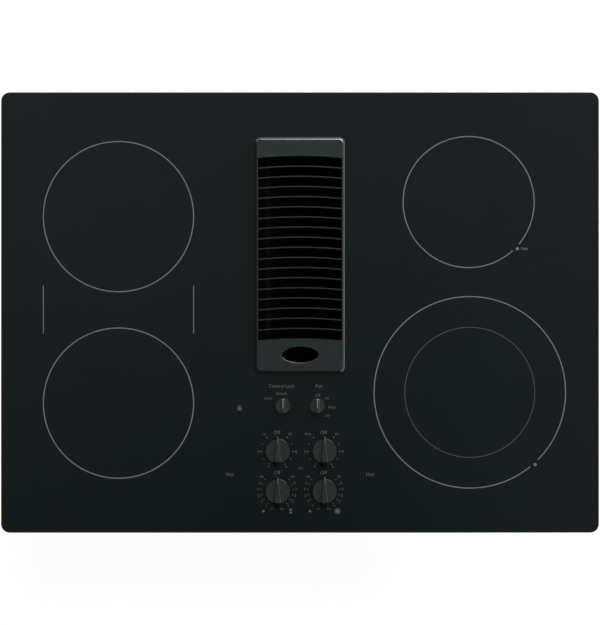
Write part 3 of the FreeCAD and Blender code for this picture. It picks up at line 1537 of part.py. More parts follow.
def make_outlet():
    """A square-to-round transition under the scroll's neck and the round collar that takes the duct."""
    metal = S.collar_sheet.number
    near, back = scroll_near.number, scroll_back.number
    front, rear = neck_span(0)
    top = neck_bottom.number
    mid_x, mid_y = (near + back) / 2, (front + rear) / 2
    radius = S.collar_radius.number
    drop = S.transition_length.number

    def square(inset, z):
        half_x, half_y = (back - near) / 2 - inset, (rear - front) / 2 - inset
        spots = [FreeCAD.Vector(mid_x + sx * half_x, mid_y + sy * half_y, z)
                 for sx, sy in ((1, 1), (-1, 1), (-1, -1), (1, -1), (1, 1))]
        return Part.Wire([Part.makeLine(a, b) for a, b in zip(spots, spots[1:])])

    def circle(inset, z):
        r = radius - inset
        arcs = []
        for quarter in range(4):
            angles = [math.radians(45 + 90 * quarter + step) for step in (0, 45, 90)]
            spots = [FreeCAD.Vector(mid_x + r * math.cos(a), mid_y + r * math.sin(a), z) for a in angles]
            arcs.append(Part.Arc(*spots).toShape())
        return Part.Wire(arcs)

    def solid(inset):
        cone = Part.makeLoft([square(inset, top), circle(inset, top - drop)], True, True)
        tube = Part.makeCylinder(radius - inset, S.collar_length.number,
                                 FreeCAD.Vector(mid_x, mid_y, top - drop), FreeCAD.Vector(0, 0, -1))
        return cone.fuse(tube)

    fixed_shape("outlet_collar", solid(0).cut(solid(metal)).removeSplitter())


# Hold-downs on the pan's two sides
def make_clamps():
    low = box_bottom + S.clamp_above_floor
    brackets = []
    screw_x = box_x + S.clamp_sheet + S.clamp_screw_inset
    for side, label in ((-1, "left"), (1, "right")):
        near, outer = side * box_x, side * (box_x + S.clamp_sheet)
        far = side * (box_x + S.clamp_reach)
        half = S.clamp_width / 2
        upright = box(f"{label}_upright", (outer if side < 0 else near, -half, low),
                      (near if side < 0 else outer, half, low + S.clamp_rise))
        ledge = box(f"{label}_ledge", (far if side < 0 else near, -half, low),
                    (near if side < 0 else far, half, low + S.clamp_sheet))
        bracket = fuse(f"{label}_angle", [upright, ledge])
        holes = [cylinder(f"{label}_thread", (side * screw_x, 0, low - S.clamp_sheet),
                          S.clamp_screw_radius + S.clamp_screw_clearance, 3 * S.clamp_sheet)]
        for y, z in clamp_screw_holes():
            holes.append(cylinder(f"{label}_hole", (side * box_x - S.clamp_reach, y, z), screw_hole,
                                  2 * S.clamp_reach, "X"))
        brackets.append(cut(f"{label}_hold_down", bracket, fuse(f"{label}_holes", holes)))
        foot_top = -S.clamp_counter
        foot = cylinder(f"{label}_foot", (side * screw_x, 0, foot_top - S.clamp_foot_height),
                        S.clamp_foot_radius, S.clamp_foot_height)
        head_top = low - S.clamp_screw_travel - S.clamp_sheet
        stem = cylinder(f"{label}_stem", (side * screw_x, 0, head_top), S.clamp_screw_radius,
                        foot_top - S.clamp_foot_height - head_top)
        head = doc.addObject("Part::Prism", f"{label}_head")
        head.Polygon = 6
        bind(head, Circumradius=S.clamp_head_radius, Height=S.clamp_head_height)
        place(head, side * screw_x, 0, head_top - S.clamp_head_height)
        node(fuse(f"{label}_clamp_screw", [foot, stem, head]), f"{label}_clamp_screw")
    group("hold_down_brackets", brackets)


def check_and_write():
    """Stops on any failed feature or bad solid, then writes one file for each piece."""
    doc.recompute()
    for thing in doc.Objects:
        bad = {"Invalid", "Error"} & set(thing.State)
        if bad:
            raise RuntimeError(f"{thing.Label} failed: {thing.State}")
    os.makedirs("parts", exist_ok=True)
    for piece in NODES:
        shape = piece.Shape
        if shape.isNull() or not shape.isValid() or not shape.Solids:
            raise RuntimeError(f"{piece.Label} is not a sound solid")
        shape.exportStep(f"parts/{piece.Label}.step")
    print(len(NODES), "pieces written")


make_glass()
make_gasket()
make_frame()
make_pan()
make_grille()
make_filter()
make_chamber()
make_units()
make_rails()
make_controls()
make_junction()
make_scroll()
make_wheel()
make_motor()
make_outlet()
make_clamps()
make_screws()
check_and_write()
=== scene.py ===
"""Looks for the downdraft cooktop: finishes, print on the glass, knob pointers, woven filter and studio."""
import json
import math

import bmesh
import bpy
from mathutils import Matrix, Vector


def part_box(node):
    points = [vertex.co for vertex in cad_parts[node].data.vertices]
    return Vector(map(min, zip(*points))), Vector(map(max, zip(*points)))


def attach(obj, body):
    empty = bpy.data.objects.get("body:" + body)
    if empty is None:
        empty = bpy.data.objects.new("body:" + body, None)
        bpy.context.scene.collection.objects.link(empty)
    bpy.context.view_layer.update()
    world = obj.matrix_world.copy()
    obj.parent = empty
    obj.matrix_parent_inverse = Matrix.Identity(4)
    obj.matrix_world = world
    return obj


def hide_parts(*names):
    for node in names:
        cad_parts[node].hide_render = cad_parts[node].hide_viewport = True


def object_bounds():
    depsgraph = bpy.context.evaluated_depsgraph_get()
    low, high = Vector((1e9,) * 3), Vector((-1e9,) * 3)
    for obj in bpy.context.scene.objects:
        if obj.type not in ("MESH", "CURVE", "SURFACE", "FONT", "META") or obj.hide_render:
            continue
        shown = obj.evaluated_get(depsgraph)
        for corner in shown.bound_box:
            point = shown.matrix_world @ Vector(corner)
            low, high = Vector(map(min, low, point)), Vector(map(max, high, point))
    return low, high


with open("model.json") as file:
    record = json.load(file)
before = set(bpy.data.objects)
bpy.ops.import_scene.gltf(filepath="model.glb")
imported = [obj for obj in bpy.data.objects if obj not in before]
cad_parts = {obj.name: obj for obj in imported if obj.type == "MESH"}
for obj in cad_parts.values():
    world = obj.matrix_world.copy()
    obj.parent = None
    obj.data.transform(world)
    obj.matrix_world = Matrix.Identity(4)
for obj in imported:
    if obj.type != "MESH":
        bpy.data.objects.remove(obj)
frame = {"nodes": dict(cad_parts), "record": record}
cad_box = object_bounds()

MM = 0.001
RECORD = frame["record"]
JOINTS = {joint["name"]: joint for joint in RECORD["behaviour"]["joints"]}
SLOTS = {part["node"]: part["material_slot"] for part in RECORD["subparts"]}
GLASS_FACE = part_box("glass_top")[1].z


# Node materials

MIDDLE_RANGE = (0.3, 0.7)  # where most values of a texture lie
WAVE_RATE = 10  # a wave texture of scale pi has this many bands in a metre


class Finish:
    """A material whose colour, roughness and relief come from procedural textures in object space."""

    def __init__(self, name, metallic=0.0, specular=0.5, ior=1.5, tint=(1, 1, 1)):
        self.material = bpy.data.materials.new(name)
        self.material.use_nodes = True
        self.nodes = self.material.node_tree.nodes
        self.links = self.material.node_tree.links
        self.shader = self.nodes["Principled BSDF"]
        self.shader.inputs["Metallic"].default_value = metallic
        self.shader.inputs["Specular IOR Level"].default_value = specular
        self.shader.inputs["Specular Tint"].default_value = (*tint, 1)
        self.shader.inputs["IOR"].default_value = ior
        self.place = self.nodes.new("ShaderNodeTexCoord").outputs["Object"]

    def node(self, kind, links=(), **values):
        """A new node: links feed its sockets by name, values set them."""
        made = self.nodes.new(kind)
        for socket, source in dict(links).items():
            self.links.new(source, made.inputs[socket])
        for socket, value in values.items():
            made.inputs[socket.replace("_", " ")].default_value = value
        return made

    def stretched(self, stretch):
        """Object space drawn out along its axes, so that a texture turns into streaks."""
        scale = [1 / length for length in stretch]
        return self.node("ShaderNodeMapping", {"Vector": self.place}, Scale=scale).outputs["Vector"]

    def noise(self, size, detail=3.0, stretch=None):
        """Cloudy values whose patches measure about size, drawn out by stretch."""
        place = self.stretched(stretch) if stretch else self.place
        made = self.node("ShaderNodeTexNoise", {"Vector": place}, Scale=1 / size, Detail=detail)
        return made.outputs[0]

    def cells(self, size):
        """One value for each crystal of about that size."""
        made = self.node("ShaderNodeTexVoronoi", {"Vector": self.place}, Scale=1 / size)
        return self.node("ShaderNodeRGBToBW", {"Color": made.outputs["Color"]}).outputs[0]

    def bands(self, pitch):
        """Rings along Z with that pitch, such as a screw's thread."""
        made = self.node("ShaderNodeTexWave", {"Vector": self.place}, Scale=math.pi / (WAVE_RATE * pitch))
        made.bands_direction = "Z"
        return made.outputs[1]

    def between(self, factor, low, high):
        """The factor's middle range as a number from low to high."""
        start, end = MIDDLE_RANGE
        made = self.node("ShaderNodeMapRange", {"Value": factor},
                         From_Min=start, From_Max=end, To_Min=low, To_Max=high)
        return made.outputs[0]

    def colour(self, factor, dark, light):
        """The factor's middle range runs from the dark colour to the light one."""
        made = self.node("ShaderNodeValToRGB", {"Fac": factor})
        ends = made.color_ramp.elements
        ends[0].position, ends[1].position = MIDDLE_RANGE
        ends[0].color, ends[1].color = (*dark, 1), (*light, 1)
        self.links.new(made.outputs["Color"], self.shader.inputs["Base Color"])
        return self

    def roughness(self, factor, low, high):
        """The factor's middle range runs from a low roughness to a high one."""
        self.links.new(self.between(factor, low, high), self.shader.inputs["Roughness"])
        return self

    def relief(self, factor, depth):
        """A fine grain, whose height is the factor times the depth."""
        made = self.node("ShaderNodeBump", {"Height": factor}, Strength=1.0, Distance=depth)
        self.links.new(made.outputs["Normal"], self.shader.inputs["Normal"])
        return self


def black_glass():
    """Ceramic glass, nearly black with a green cast, wiped clean but not spotless."""
    finish = Finish("black_glass")
    finish.colour(finish.noise(180 * MM, 2), (0.0015, 0.0052, 0.0053), (0.0021, 0.0063, 0.0066))
    finish.roughness(finish.noise(28 * MM, 6), 0.03, 0.07)
    return finish.relief(finish.noise(60 * MM, 1), 0.004 * MM).material


def gasket_rubber():
    finish = Finish("gasket_rubber", specular=0.3)
    finish.colour(finish.noise(6 * MM, 5), (0.012, 0.012, 0.013), (0.030, 0.030, 0.031))
    finish.roughness(finish.noise(3 * MM), 0.62, 0.85)
    return finish.relief(finish.noise(0.8 * MM, 4), 0.15 * MM).material


def zinc_steel():
    """Galvanised sheet: dull crystals, each with its own tone and gloss."""
    finish = Finish("zinc_steel", metallic=1.0)
    crystals = finish.cells(9 * MM)
    finish.colour(crystals, (0.345, 0.360, 0.375), (0.415, 0.430, 0.440))
    finish.roughness(crystals, 0.40, 0.52)
    return finish.relief(finish.noise(9 * MM, 4), 0.05 * MM).material


def bright_steel():
    """Drawn steel with fine lines along Y."""
    finish = Finish("bright_steel", metallic=1.0)
    lines = finish.noise(0.4 * MM, 4, stretch=(1, 60, 1))
    finish.colour(lines, (0.46, 0.46, 0.45), (0.64, 0.64, 0.63))
    finish.roughness(lines, 0.22, 0.40)
    return finish.relief(lines, 0.01 * MM).material


def thread_steel_painted_shading():
    """Zinc plated screw with a rolled thread along Z, its colour dark in the grooves and light on the crests
    as painted shade and painted highlight.
    """
    pitch = 1.25 * MM
    finish = Finish("thread_steel_painted_shading", metallic=1.0)
    # painted shade in the thread's grooves and painted highlight on its crests, along the thread's bands
    finish.colour(finish.bands(pitch), (0.20, 0.20, 0.19), (0.66, 0.66, 0.64))
    finish.roughness(finish.noise(2 * MM), 0.28, 0.45)
    return finish.relief(finish.bands(pitch), 0.4 * MM).material


def grille_paint():
    """Glossy black enamel on a cast grille, with a fine orange peel."""
    finish = Finish("grille_paint", specular=0.6, ior=1.8, tint=(0.84, 1, 1))
    finish.colour(finish.noise(25 * MM, 4), (0.0062, 0.0085, 0.0085), (0.0085, 0.0112, 0.0112))
    finish.roughness(finish.noise(5 * MM, 5), 0.08, 0.12)
    return finish.relief(finish.noise(1.6 * MM, 3), 0.008 * MM).material


def chamber_enamel():
    """Black enamel, baked dull by hot air, on the sheet of the air way; its near-black colour is partly
    painted shade for the depth seen through the grille's slots.
    """
    finish = Finish("chamber_enamel", specular=0.2)
    # near-black colour: black enamel, made darker as painted shade for the vent's depth under the grille
    finish.colour(finish.noise(40 * MM, 5), (0.0020, 0.0022, 0.0022), (0.0045, 0.0048, 0.0048))
    finish.roughness(finish.noise(7 * MM, 4), 0.55, 0.72)
    return finish.relief(finish.noise(2 * MM, 3), 0.05 * MM).material


def filter_aluminium():
    """Aluminium strands, dulled by grease, coloured nearly black as painted shade for the depth of the vent
    under the grille.
    """
    finish = Finish("filter_aluminium", metallic=1.0)
    # nearly black: painted shade for the vent's depth below the grille
    finish.colour(finish.noise(12 * MM, 5), (0.012, 0.012, 0.012), (0.035, 0.035, 0.034))
    finish.roughness(finish.noise(3 * MM, 4), 0.42, 0.62)
    return finish.relief(finish.noise(1.5 * MM, 3), 0.05 * MM).material


def insulation():
    """Moulded mineral fibre, pale and matted."""
    finish = Finish("insulation", specular=0.2)
    finish.colour(finish.noise(2 * MM, 8, stretch=(3, 1, 1)), (0.50, 0.48, 0.43), (0.76, 0.74, 0.69))
    finish.roughness(finish.noise(2 * MM), 0.85, 0.98)
    return finish.relief(finish.noise(1.2 * MM, 8, stretch=(4, 1, 1)), 0.5 * MM).material


def heater_alloy():
    finish = Finish("heater_alloy", metallic=1.0)
    finish.colour(finish.noise(4 * MM, 5), (0.16, 0.14, 0.13), (0.32, 0.28, 0.25))
    finish.roughness(finish.noise(2 * MM), 0.40, 0.62)
    return finish.relief(finish.noise(1 * MM), 0.04 * MM).material


def white_ceramic():
    finish = Finish("white_ceramic", specular=0.4)
    finish.colour(finish.noise(5 * MM, 5), (0.62, 0.60, 0.56), (0.78, 0.77, 0.73))
    finish.roughness(finish.noise(3 * MM), 0.45, 0.65)
    return finish.relief(finish.noise(0.8 * MM, 4), 0.05 * MM).material


def switch_plastic():
    """Dark brown phenolic mouldings with a fine flow mottle."""
    finish = Finish("switch_plastic", specular=0.4)
    finish.colour(finish.noise(7 * MM, 6), (0.022, 0.014, 0.010), (0.050, 0.033, 0.024))
    finish.roughness(finish.noise(4 * MM), 0.36, 0.52)
    return finish.relief(finish.noise(1 * MM, 3), 0.03 * MM).material


def terminal_brass():
    finish = Finish("terminal_brass", metallic=1.0)
    finish.colour(finish.noise(5 * MM, 5), (0.48, 0.33, 0.12), (0.72, 0.54, 0.24))
    finish.roughness(finish.noise(2 * MM), 0.25, 0.42)
    return finish.relief(finish.noise(1 * MM), 0.02 * MM).material


def sleeve_nylon():
    finish = Finish("sleeve_nylon")
    finish.colour(finish.noise(4 * MM, 4), (0.012, 0.013, 0.013), (0.022, 0.024, 0.024))
    finish.roughness(finish.noise(2 * MM), 0.45, 0.62)
    return finish.relief(finish.noise(0.8 * MM, 3), 0.02 * MM).material


def knob_plastic():
    """Black moulding with a fine spark texture, rubbed a little brighter in patches."""
    finish = Finish("knob_plastic", specular=0.75, ior=1.7)
    finish.colour(finish.noise(6 * MM, 5), (0.0062, 0.0096, 0.0096), (0.0090, 0.0126, 0.0126))
    finish.roughness(finish.noise(3 * MM, 4), 0.15, 0.21)
    return finish.relief(finish.noise(0.7 * MM, 3), 0.006 * MM).material


def lamp_red():
    finish = Finish("lamp_red")
    finish.colour(finish.noise(2 * MM, 3), (0.20, 0.010, 0.008), (0.32, 0.020, 0.014))
    finish.roughness(finish.noise(2 * MM), 0.15, 0.28)
    return finish.relief(finish.noise(1 * MM), 0.02 * MM).material


def motor_paint():
    finish = Finish("motor_paint", specular=0.4)
    finish.colour(finish.noise(14 * MM, 5), (0.016, 0.017, 0.018), (0.034, 0.035, 0.036))
    finish.roughness(finish.noise(5 * MM, 4), 0.36, 0.52)
    return finish.relief(finish.noise(1.4 * MM, 3), 0.04 * MM).material


def fired_ink(name, dark, light):
    """Grey enamel print burnt into the glass, slightly uneven under the squeegee."""
    finish = Finish(name, specular=0.15)
    finish.colour(finish.noise(4 * MM, 6), dark, light)
    finish.roughness(finish.noise(2 * MM), 0.50, 0.70)
    return finish.relief(finish.noise(0.5 * MM, 3), 0.01 * MM).material


def line_paint(name, dark, light):
    """Pale paint wiped into a knob's pointer line."""
    finish = Finish(name, specular=0.25)
    finish.colour(finish.noise(2 * MM, 5), dark, light)
    finish.roughness(finish.noise(1 * MM), 0.45, 0.62)
    return finish.relief(finish.noise(0.4 * MM, 3), 0.01 * MM).material


SLOT_FINISHES = (
    black_glass, gasket_rubber, zinc_steel, bright_steel, grille_paint, chamber_enamel, filter_aluminium,
    insulation, heater_alloy, white_ceramic, switch_plastic, terminal_brass, sleeve_nylon, knob_plastic,
    lamp_red, motor_paint,
)
FINISHES = {make.__name__: make() for make in SLOT_FINISHES}
ZONE_INK = fired_ink("zone_ink", (0.145, 0.158, 0.158), (0.190, 0.205, 0.205))
MARK_INK = fired_ink("mark_ink", (0.088, 0.097, 0.097), (0.122, 0.133, 0.133))
FAINT_INK = fired_ink("faint_ink", (0.060, 0.067, 0.067), (0.085, 0.093, 0.093))
BRIGHT_LINE = line_paint("bright_line", (0.26, 0.275, 0.275), (0.34, 0.355, 0.355))
DULL_LINE = line_paint("dull_line", (0.11, 0.12, 0.12), (0.15, 0.16, 0.16))


def dress_nodes():
    """Each CAD node takes its slot's finish, and the clamp screws show their thread, with painted shade in
    its grooves and painted highlight on its crests.
    """
    shaded_threads = thread_steel_painted_shading()
    for name, node in frame["nodes"].items():
        finish = shaded_threads if name.endswith("clamp_screw") else FINISHES[SLOTS[name]]
        for slot in node.material_slots:
            slot.material = finish


# Thin printed shapes

INK_LIFT = 0.02 * MM
INK_THICKNESS = 0.06 * MM
INK_BOTTOM = GLASS_FACE + INK_LIFT
LETTER_STEPS = 4


def join_rings(mesh, first, last):
    """Four faces between two rings of four corners."""
    for corner in range(4):
        after = (corner + 1) % 4
        mesh.faces.new((first[corner], first[after], last[after], last[corner]))


class Sheet:
    """Thin closed shapes gathered into one mesh piece."""

    def __init__(self, bottom=INK_BOTTOM, thickness=INK_THICKNESS):
        self.mesh = bmesh.new()
        self.bottom = bottom
        self.thickness = thickness

    def column(self, x, y):
        """The two corners at one point of an outline: lower, then upper."""
        return [self.mesh.verts.new((x, y, self.bottom + lift)) for lift in (0, self.thickness)]

    def prism(self, points):
        """A plate with that outline."""
        columns = [self.column(*point) for point in points]
        for level in (0, 1):
            self.mesh.faces.new([column[level] for column in columns])
        for here, after in zip(columns, columns[1:] + columns[:1]):
            self.mesh.faces.new((here[0], after[0], after[1], here[1]))

    def arc(self, centre, radius, width, start=0.0, end=360.0, step=2.0):
        """A ring, or a part of one, between two angles in degrees from +X."""
        whole = end - start >= 360
        count = math.ceil((end - start) / step)
        rows = []
        for index in range(count + (not whole)):
            angle = math.radians(start + (end - start) * index / count)
            right, back = math.cos(angle), math.sin(angle)
            inside, outside = [self.column(centre[0] + reach * right, centre[1] + reach * back)
                               for reach in (radius - width / 2, radius + width / 2)]
            rows.append((inside[0], outside[0], outside[1], inside[1]))
        for here, after in zip(rows, rows[1:] + rows[:1] if whole else rows[1:]):
            join_rings(self.mesh, here, after)
        if not whole:
            self.mesh.faces.new(rows[0])
            self.mesh.faces.new(rows[-1])

    def dot(self, centre, radius, sides=20):
        """A round spot."""
        turns = [2 * math.pi * index / sides for index in range(sides)]
        self.prism([(centre[0] + radius * math.cos(t), centre[1] + radius * math.sin(t)) for t in turns])

    def bar(self, start, end, width):
        """A straight line of that width."""
        along = Vector(end) - Vector(start)
        side = Vector((-along.y, along.x)).normalized() * width / 2
        corners = [Vector(start) - side, Vector(end) - side, Vector(end) + side, Vector(start) + side]
        self.prism(corners)

    def box(self, centre, width, depth):
        """An upright rectangle."""
        x, y = centre
        self.bar((x - width / 2, y), (x + width / 2, y), depth)

    def word(self, text, centre, height):
        """A line of letters as tall as height, centred on a point."""
        curve = bpy.data.curves.new("letters", "FONT")
        curve.body = text
        curve.resolution_u = LETTER_STEPS
        holder = bpy.data.objects.new("letters", curve)
        tall = [vertex.co.y for vertex in holder.to_mesh().vertices]
        curve.size = height / (max(tall) - min(tall))
        curve.extrude = self.thickness / 2
        letters = holder.to_mesh()
        corners = [vertex.co.copy() for vertex in letters.vertices]
        middle = [(min(values) + max(values)) / 2 for values in zip(*corners)]
        goal = Vector((*centre, self.bottom + self.thickness / 2))
        letters.transform(Matrix.Translation(goal - Vector(middle)))
        self.mesh.from_mesh(letters)
        holder.to_mesh_clear()
        bpy.data.objects.remove(holder)
        bpy.data.curves.remove(curve)

    def piece(self, name, material, body, slot):
        """The finished mesh object, riding on a body."""
        bmesh.ops.recalc_face_normals(self.mesh, faces=self.mesh.faces)
        return mesh_piece(name, self.mesh, material, body)


def mesh_piece(name, mesh, material, body):
    """An object made of a finished mesh, in the scene and riding on a body."""
    data = bpy.data.meshes.new(name)
    mesh.to_mesh(data)
    mesh.free()
    data.materials.append(material)
    piece = bpy.data.objects.new(name, data)
    bpy.context.scene.collection.objects.link(piece)
    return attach(piece, body)


# Cooking zones

ZONE_LINE = 1.3 * MM
INNER_LINE = 0.9 * MM
BRIDGE_LINE = 1.05 * MM
ZONE_DOT = 2.0 * MM
DISH_MARGIN = 6.0 * MM
INNER_SHARE = 0.67934
RIGHT_REAR_SHIFT = -0.8 * MM
RIGHT_FRONT_SHIFT = 0.7 * MM
BRIDGE_BACK, BRIDGE_FRONT = 34.0 * MM, -26.6 * MM
RIGHT_REAR_GAP = (-47.6, -39.8)  # degrees from +X
RIGHT_FRONT_GAP = (-50.8, -44.5)
RIGHT_REAR_DOT = (274.6 * MM, 80.5 * MM)
RIGHT_FRONT_DOT = (297.0 * MM, -192.2 * MM)
RIGHT_REAR_WORD = (283.6 * MM, 80.5 * MM)
ZONE_WORD_HEIGHT = 3.3 * MM


def dish_zone(node, shift=0.0):
    """The centre and radius of a zone, from the dish under it, which is a margin wider.

    The print may sit a hair to the side of the dish, by shift.
    """
    low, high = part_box(node)
    return ((low + high) / 2).to_2d() + Vector((shift, 0)), (high.x - low.x) / 2 - DISH_MARGIN


def print_zones():
    """Element outlines, the bridge between the left ones, and the gaps with their dots at the right."""
    zones, faint = Sheet(), Sheet()
    middle, radius = dish_zone("left_dish")
    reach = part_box("left_dish")[1].y - middle.y - DISH_MARGIN - radius
    for side in (-1, 1):
        zones.arc(middle + Vector((0, side * reach)), radius, ZONE_LINE)
        x = middle.x + side * radius
        zones.bar((x, BRIDGE_BACK), (x, BRIDGE_FRONT), BRIDGE_LINE)
    right_rear, rear_radius = dish_zone("right_rear_dish", RIGHT_REAR_SHIFT)
    right_front, front_radius = dish_zone("right_front_dish", RIGHT_FRONT_SHIFT)
    zones.arc(right_rear, rear_radius, ZONE_LINE, start=RIGHT_REAR_GAP[1], end=360 + RIGHT_REAR_GAP[0])
    zones.arc(right_front, front_radius, ZONE_LINE, start=RIGHT_FRONT_GAP[1], end=360 + RIGHT_FRONT_GAP[0])
    zones.dot(RIGHT_REAR_DOT, ZONE_DOT)
    zones.dot(RIGHT_FRONT_DOT, ZONE_DOT)
    zones.word("Melt", RIGHT_REAR_WORD, ZONE_WORD_HEIGHT)
    faint.arc(right_front, front_radius * INNER_SHARE, INNER_LINE)
    zones.piece("zone_outlines", ZONE_INK, "cooktop", "black_glass")
    faint.piece("inner_zone_outline", FAINT_INK, "cooktop", "black_glass")


# Control marks

DOT_CIRCLE = 20.4 * MM
NUMBER_CIRCLE = 24.0 * MM
WORD_CIRCLE = 26.0 * MM
WORD_SPILL = 1.8 * MM
SCALE_DOT = 0.95 * MM
MINOR_DOT = 0.65 * MM
PRINT_SHIFT = Vector((-0.9 * MM, 1.2 * MM))
OFF_RISE = 22.3 * MM
OFF_HEIGHT = 4.4 * MM
NUMBER_HEIGHT = 3.1 * MM
TITLE_HEIGHT = 4.2 * MM
LABEL_HEIGHT = 3.4 * MM
HOT_HEIGHT = 4.4 * MM
REAR_SCALE_START, REAR_SCALE_STEP, REAR_SCALE_DOTS = 39.0, 28.0, 5
FRONT_SCALE_START, FRONT_SCALE_STEP = 48.5, 19.3
FRONT_WORDS = ("Hi", "9", "7", "5", "3", "1", "Lo")
SIGN_DROP, SIGN_REACH, SIGN_PLATE = 26.4 * MM, 17.3 * MM, 2.9 * MM
TWIN_RISE, TWIN_DEPTH, SMALL_RING = 0.62, 0.8, 0.55  # shares of a plate
LARGE_RING, LARGE_RING_LINE, LARGE_RING_DOT = 3.2 * MM, 0.8 * MM, 2.3 * MM
PADLOCK_X, PADLOCK_DROP = -76.4 * MM, 4.1 * MM
PADLOCK_WIDTH, PADLOCK_HEIGHT = 4.6 * MM, 3.7 * MM
SHACKLE_RADIUS, SHACKLE_LEG, SHACKLE_LINE = 1.4 * MM, 0.9 * MM, 0.8 * MM

# Words with their places in mm, to the right and to the back of a dial's shaft or of the glass's middle
LOCK_LABELS = (
    ("Control Lock", -1.5, 24.9, TITLE_HEIGHT), ("Unlock", -2.1, 15.4, LABEL_HEIGHT),
    ("Lock", -18.3, 9.5, LABEL_HEIGHT),
)
FAN_LABELS = (
    ("Fan", 1.7, 24.9, TITLE_HEIGHT), ("Off", 0.5, 13.0, LABEL_HEIGHT), ("Hi", 12.0, 9.2, LABEL_HEIGHT),
    ("Med", 18.2, -2.1, LABEL_HEIGHT), ("Lo", 12.7, -12.0, LABEL_HEIGHT),
)
LAMP_LABELS = (
    ("On", 0.5, -196.5, LABEL_HEIGHT), ("Hot", -88.4, -204.4, HOT_HEIGHT), ("Hot", 88.7, -204.4, HOT_HEIGHT),
)


def joint_place(name):
    """Where a joint's axis stands on the glass."""
    return Vector(JOINTS[name]["pos_m"][:2])


def dial_centre(element):
    """The middle of a dial's print, which sits a hair off its shaft."""
    return joint_place(f"{element}_turn") + PRINT_SHIFT


def around(centre, radius, angle):
    """A point at an angle in degrees clockwise from the back."""
    turn = math.radians(angle)
    return (centre[0] + radius * math.sin(turn), centre[1] + radius * math.cos(turn))


def print_rear_scale(sheet, element, right_words, left_words):
    """Dots each way from Off; every second one has a label."""
    centre = dial_centre(element)
    sheet.word("Off", (centre[0], centre[1] + OFF_RISE), OFF_HEIGHT)
    for side, words in ((1, right_words), (-1, left_words)):
        for step in range(REAR_SCALE_DOTS):
            angle = side * (REAR_SCALE_START + REAR_SCALE_STEP * step)
            sheet.dot(around(centre, DOT_CIRCLE, angle), MINOR_DOT if step % 2 else SCALE_DOT)
        for step, word in enumerate(words):
            angle = side * (REAR_SCALE_START + 2 * REAR_SCALE_STEP * step)
            x, y = around(centre, NUMBER_CIRCLE if len(word) == 1 else WORD_CIRCLE, angle)
            spill = side * WORD_SPILL * max(0, len(word) - 2)
            sheet.word(word, (x + spill, y), NUMBER_HEIGHT)


def print_front_scale(sheet, element):
    """Labelled dots each way from Off, one side for each element that the dial can call on."""
    centre = dial_centre(element)
    sheet.word("Off", (centre[0], centre[1] + OFF_RISE), OFF_HEIGHT)
    for side in (1, -1):
        for step, word in enumerate(FRONT_WORDS):
            angle = side * (FRONT_SCALE_START + FRONT_SCALE_STEP * step)
            reach = WORD_CIRCLE if word == "Hi" else NUMBER_CIRCLE
            sheet.dot(around(centre, DOT_CIRCLE, angle), MINOR_DOT)
            sheet.word(word, around(centre, reach, angle), NUMBER_HEIGHT)


def print_element_signs(sheet):
    """Below the front dials: one plate or two at the left, a small ring or a large one at the right."""
    left, right = dial_centre("left_front"), dial_centre("right_front")
    sheet.box((left[0] - SIGN_REACH, left[1] - SIGN_DROP), SIGN_PLATE, SIGN_PLATE)
    for rise in (-TWIN_RISE, TWIN_RISE):
        twin = (left[0] + SIGN_REACH, left[1] - SIGN_DROP + rise * SIGN_PLATE)
        sheet.box(twin, SIGN_PLATE, SIGN_PLATE * TWIN_DEPTH)
    sheet.dot((right[0] - SIGN_REACH, right[1] - SIGN_DROP), SIGN_PLATE * SMALL_RING)
    large = (right[0] + SIGN_REACH, right[1] - SIGN_DROP)
    sheet.dot(large, LARGE_RING_DOT)
    sheet.arc(large, LARGE_RING, LARGE_RING_LINE, step=12)


def print_padlock(sheet):
    """A closed padlock beside the lock dial."""
    y = joint_place("lock_turn")[1] - PADLOCK_DROP
    foot = y + PADLOCK_HEIGHT / 2
    bend = foot + SHACKLE_LEG
    sheet.box((PADLOCK_X, y), PADLOCK_WIDTH, PADLOCK_HEIGHT)
    sheet.arc((PADLOCK_X, bend), SHACKLE_RADIUS, SHACKLE_LINE, start=0, end=180, step=15)
    for side in (-1, 1):
        x = PADLOCK_X + side * SHACKLE_RADIUS
        sheet.bar((x, foot), (x, bend), SHACKLE_LINE)


def print_controls():
    """Scales, titles and lamp names round the dials."""
    marks = Sheet()
    print_rear_scale(marks, "left_rear", ("Hi", "8", "6"), ("Lo", "2", "4"))
    print_rear_scale(marks, "right_rear", ("Hi", "8", "6"), ("Melt", "2", "4"))
    print_front_scale(marks, "left_front")
    print_front_scale(marks, "right_front")
    print_element_signs(marks)
    print_padlock(marks)
    origins = (joint_place("lock_turn"), joint_place("fan_turn"), Vector((0, 0)))
    for origin, labels in zip(origins, (LOCK_LABELS, FAN_LABELS, LAMP_LABELS)):
        for text, right, back, height in labels:
            marks.word(text, (origin[0] + right * MM, origin[1] + back * MM), height)
    marks.piece("control_marks", MARK_INK, "cooktop", "black_glass")


# Knob pointers

ELEMENTS = ("left_rear", "left_front", "right_rear", "right_front")
PAINT_THICKNESS = 0.03 * MM
FIN_LINE_START, FIN_LINE_END, FIN_LINE_WIDTH = 1.7 * MM, 8.5 * MM, 0.5 * MM  # from the fin's tip
BAR_LINE_BACK, BAR_LINE_FRONT, BAR_LINE_WIDTH = 8.4 * MM, 2.6 * MM, 0.75 * MM  # from the shaft


def paint_line(dial, start, end, width, paint):
    """A painted line on top of a knob, which turns with it."""
    line = Sheet(bottom=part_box(f"{dial}_knob")[1].z, thickness=PAINT_THICKNESS)
    line.bar(start, end, width)
    line.piece(f"{dial}_pointer", paint, f"{dial}_dial", "knob_plastic")


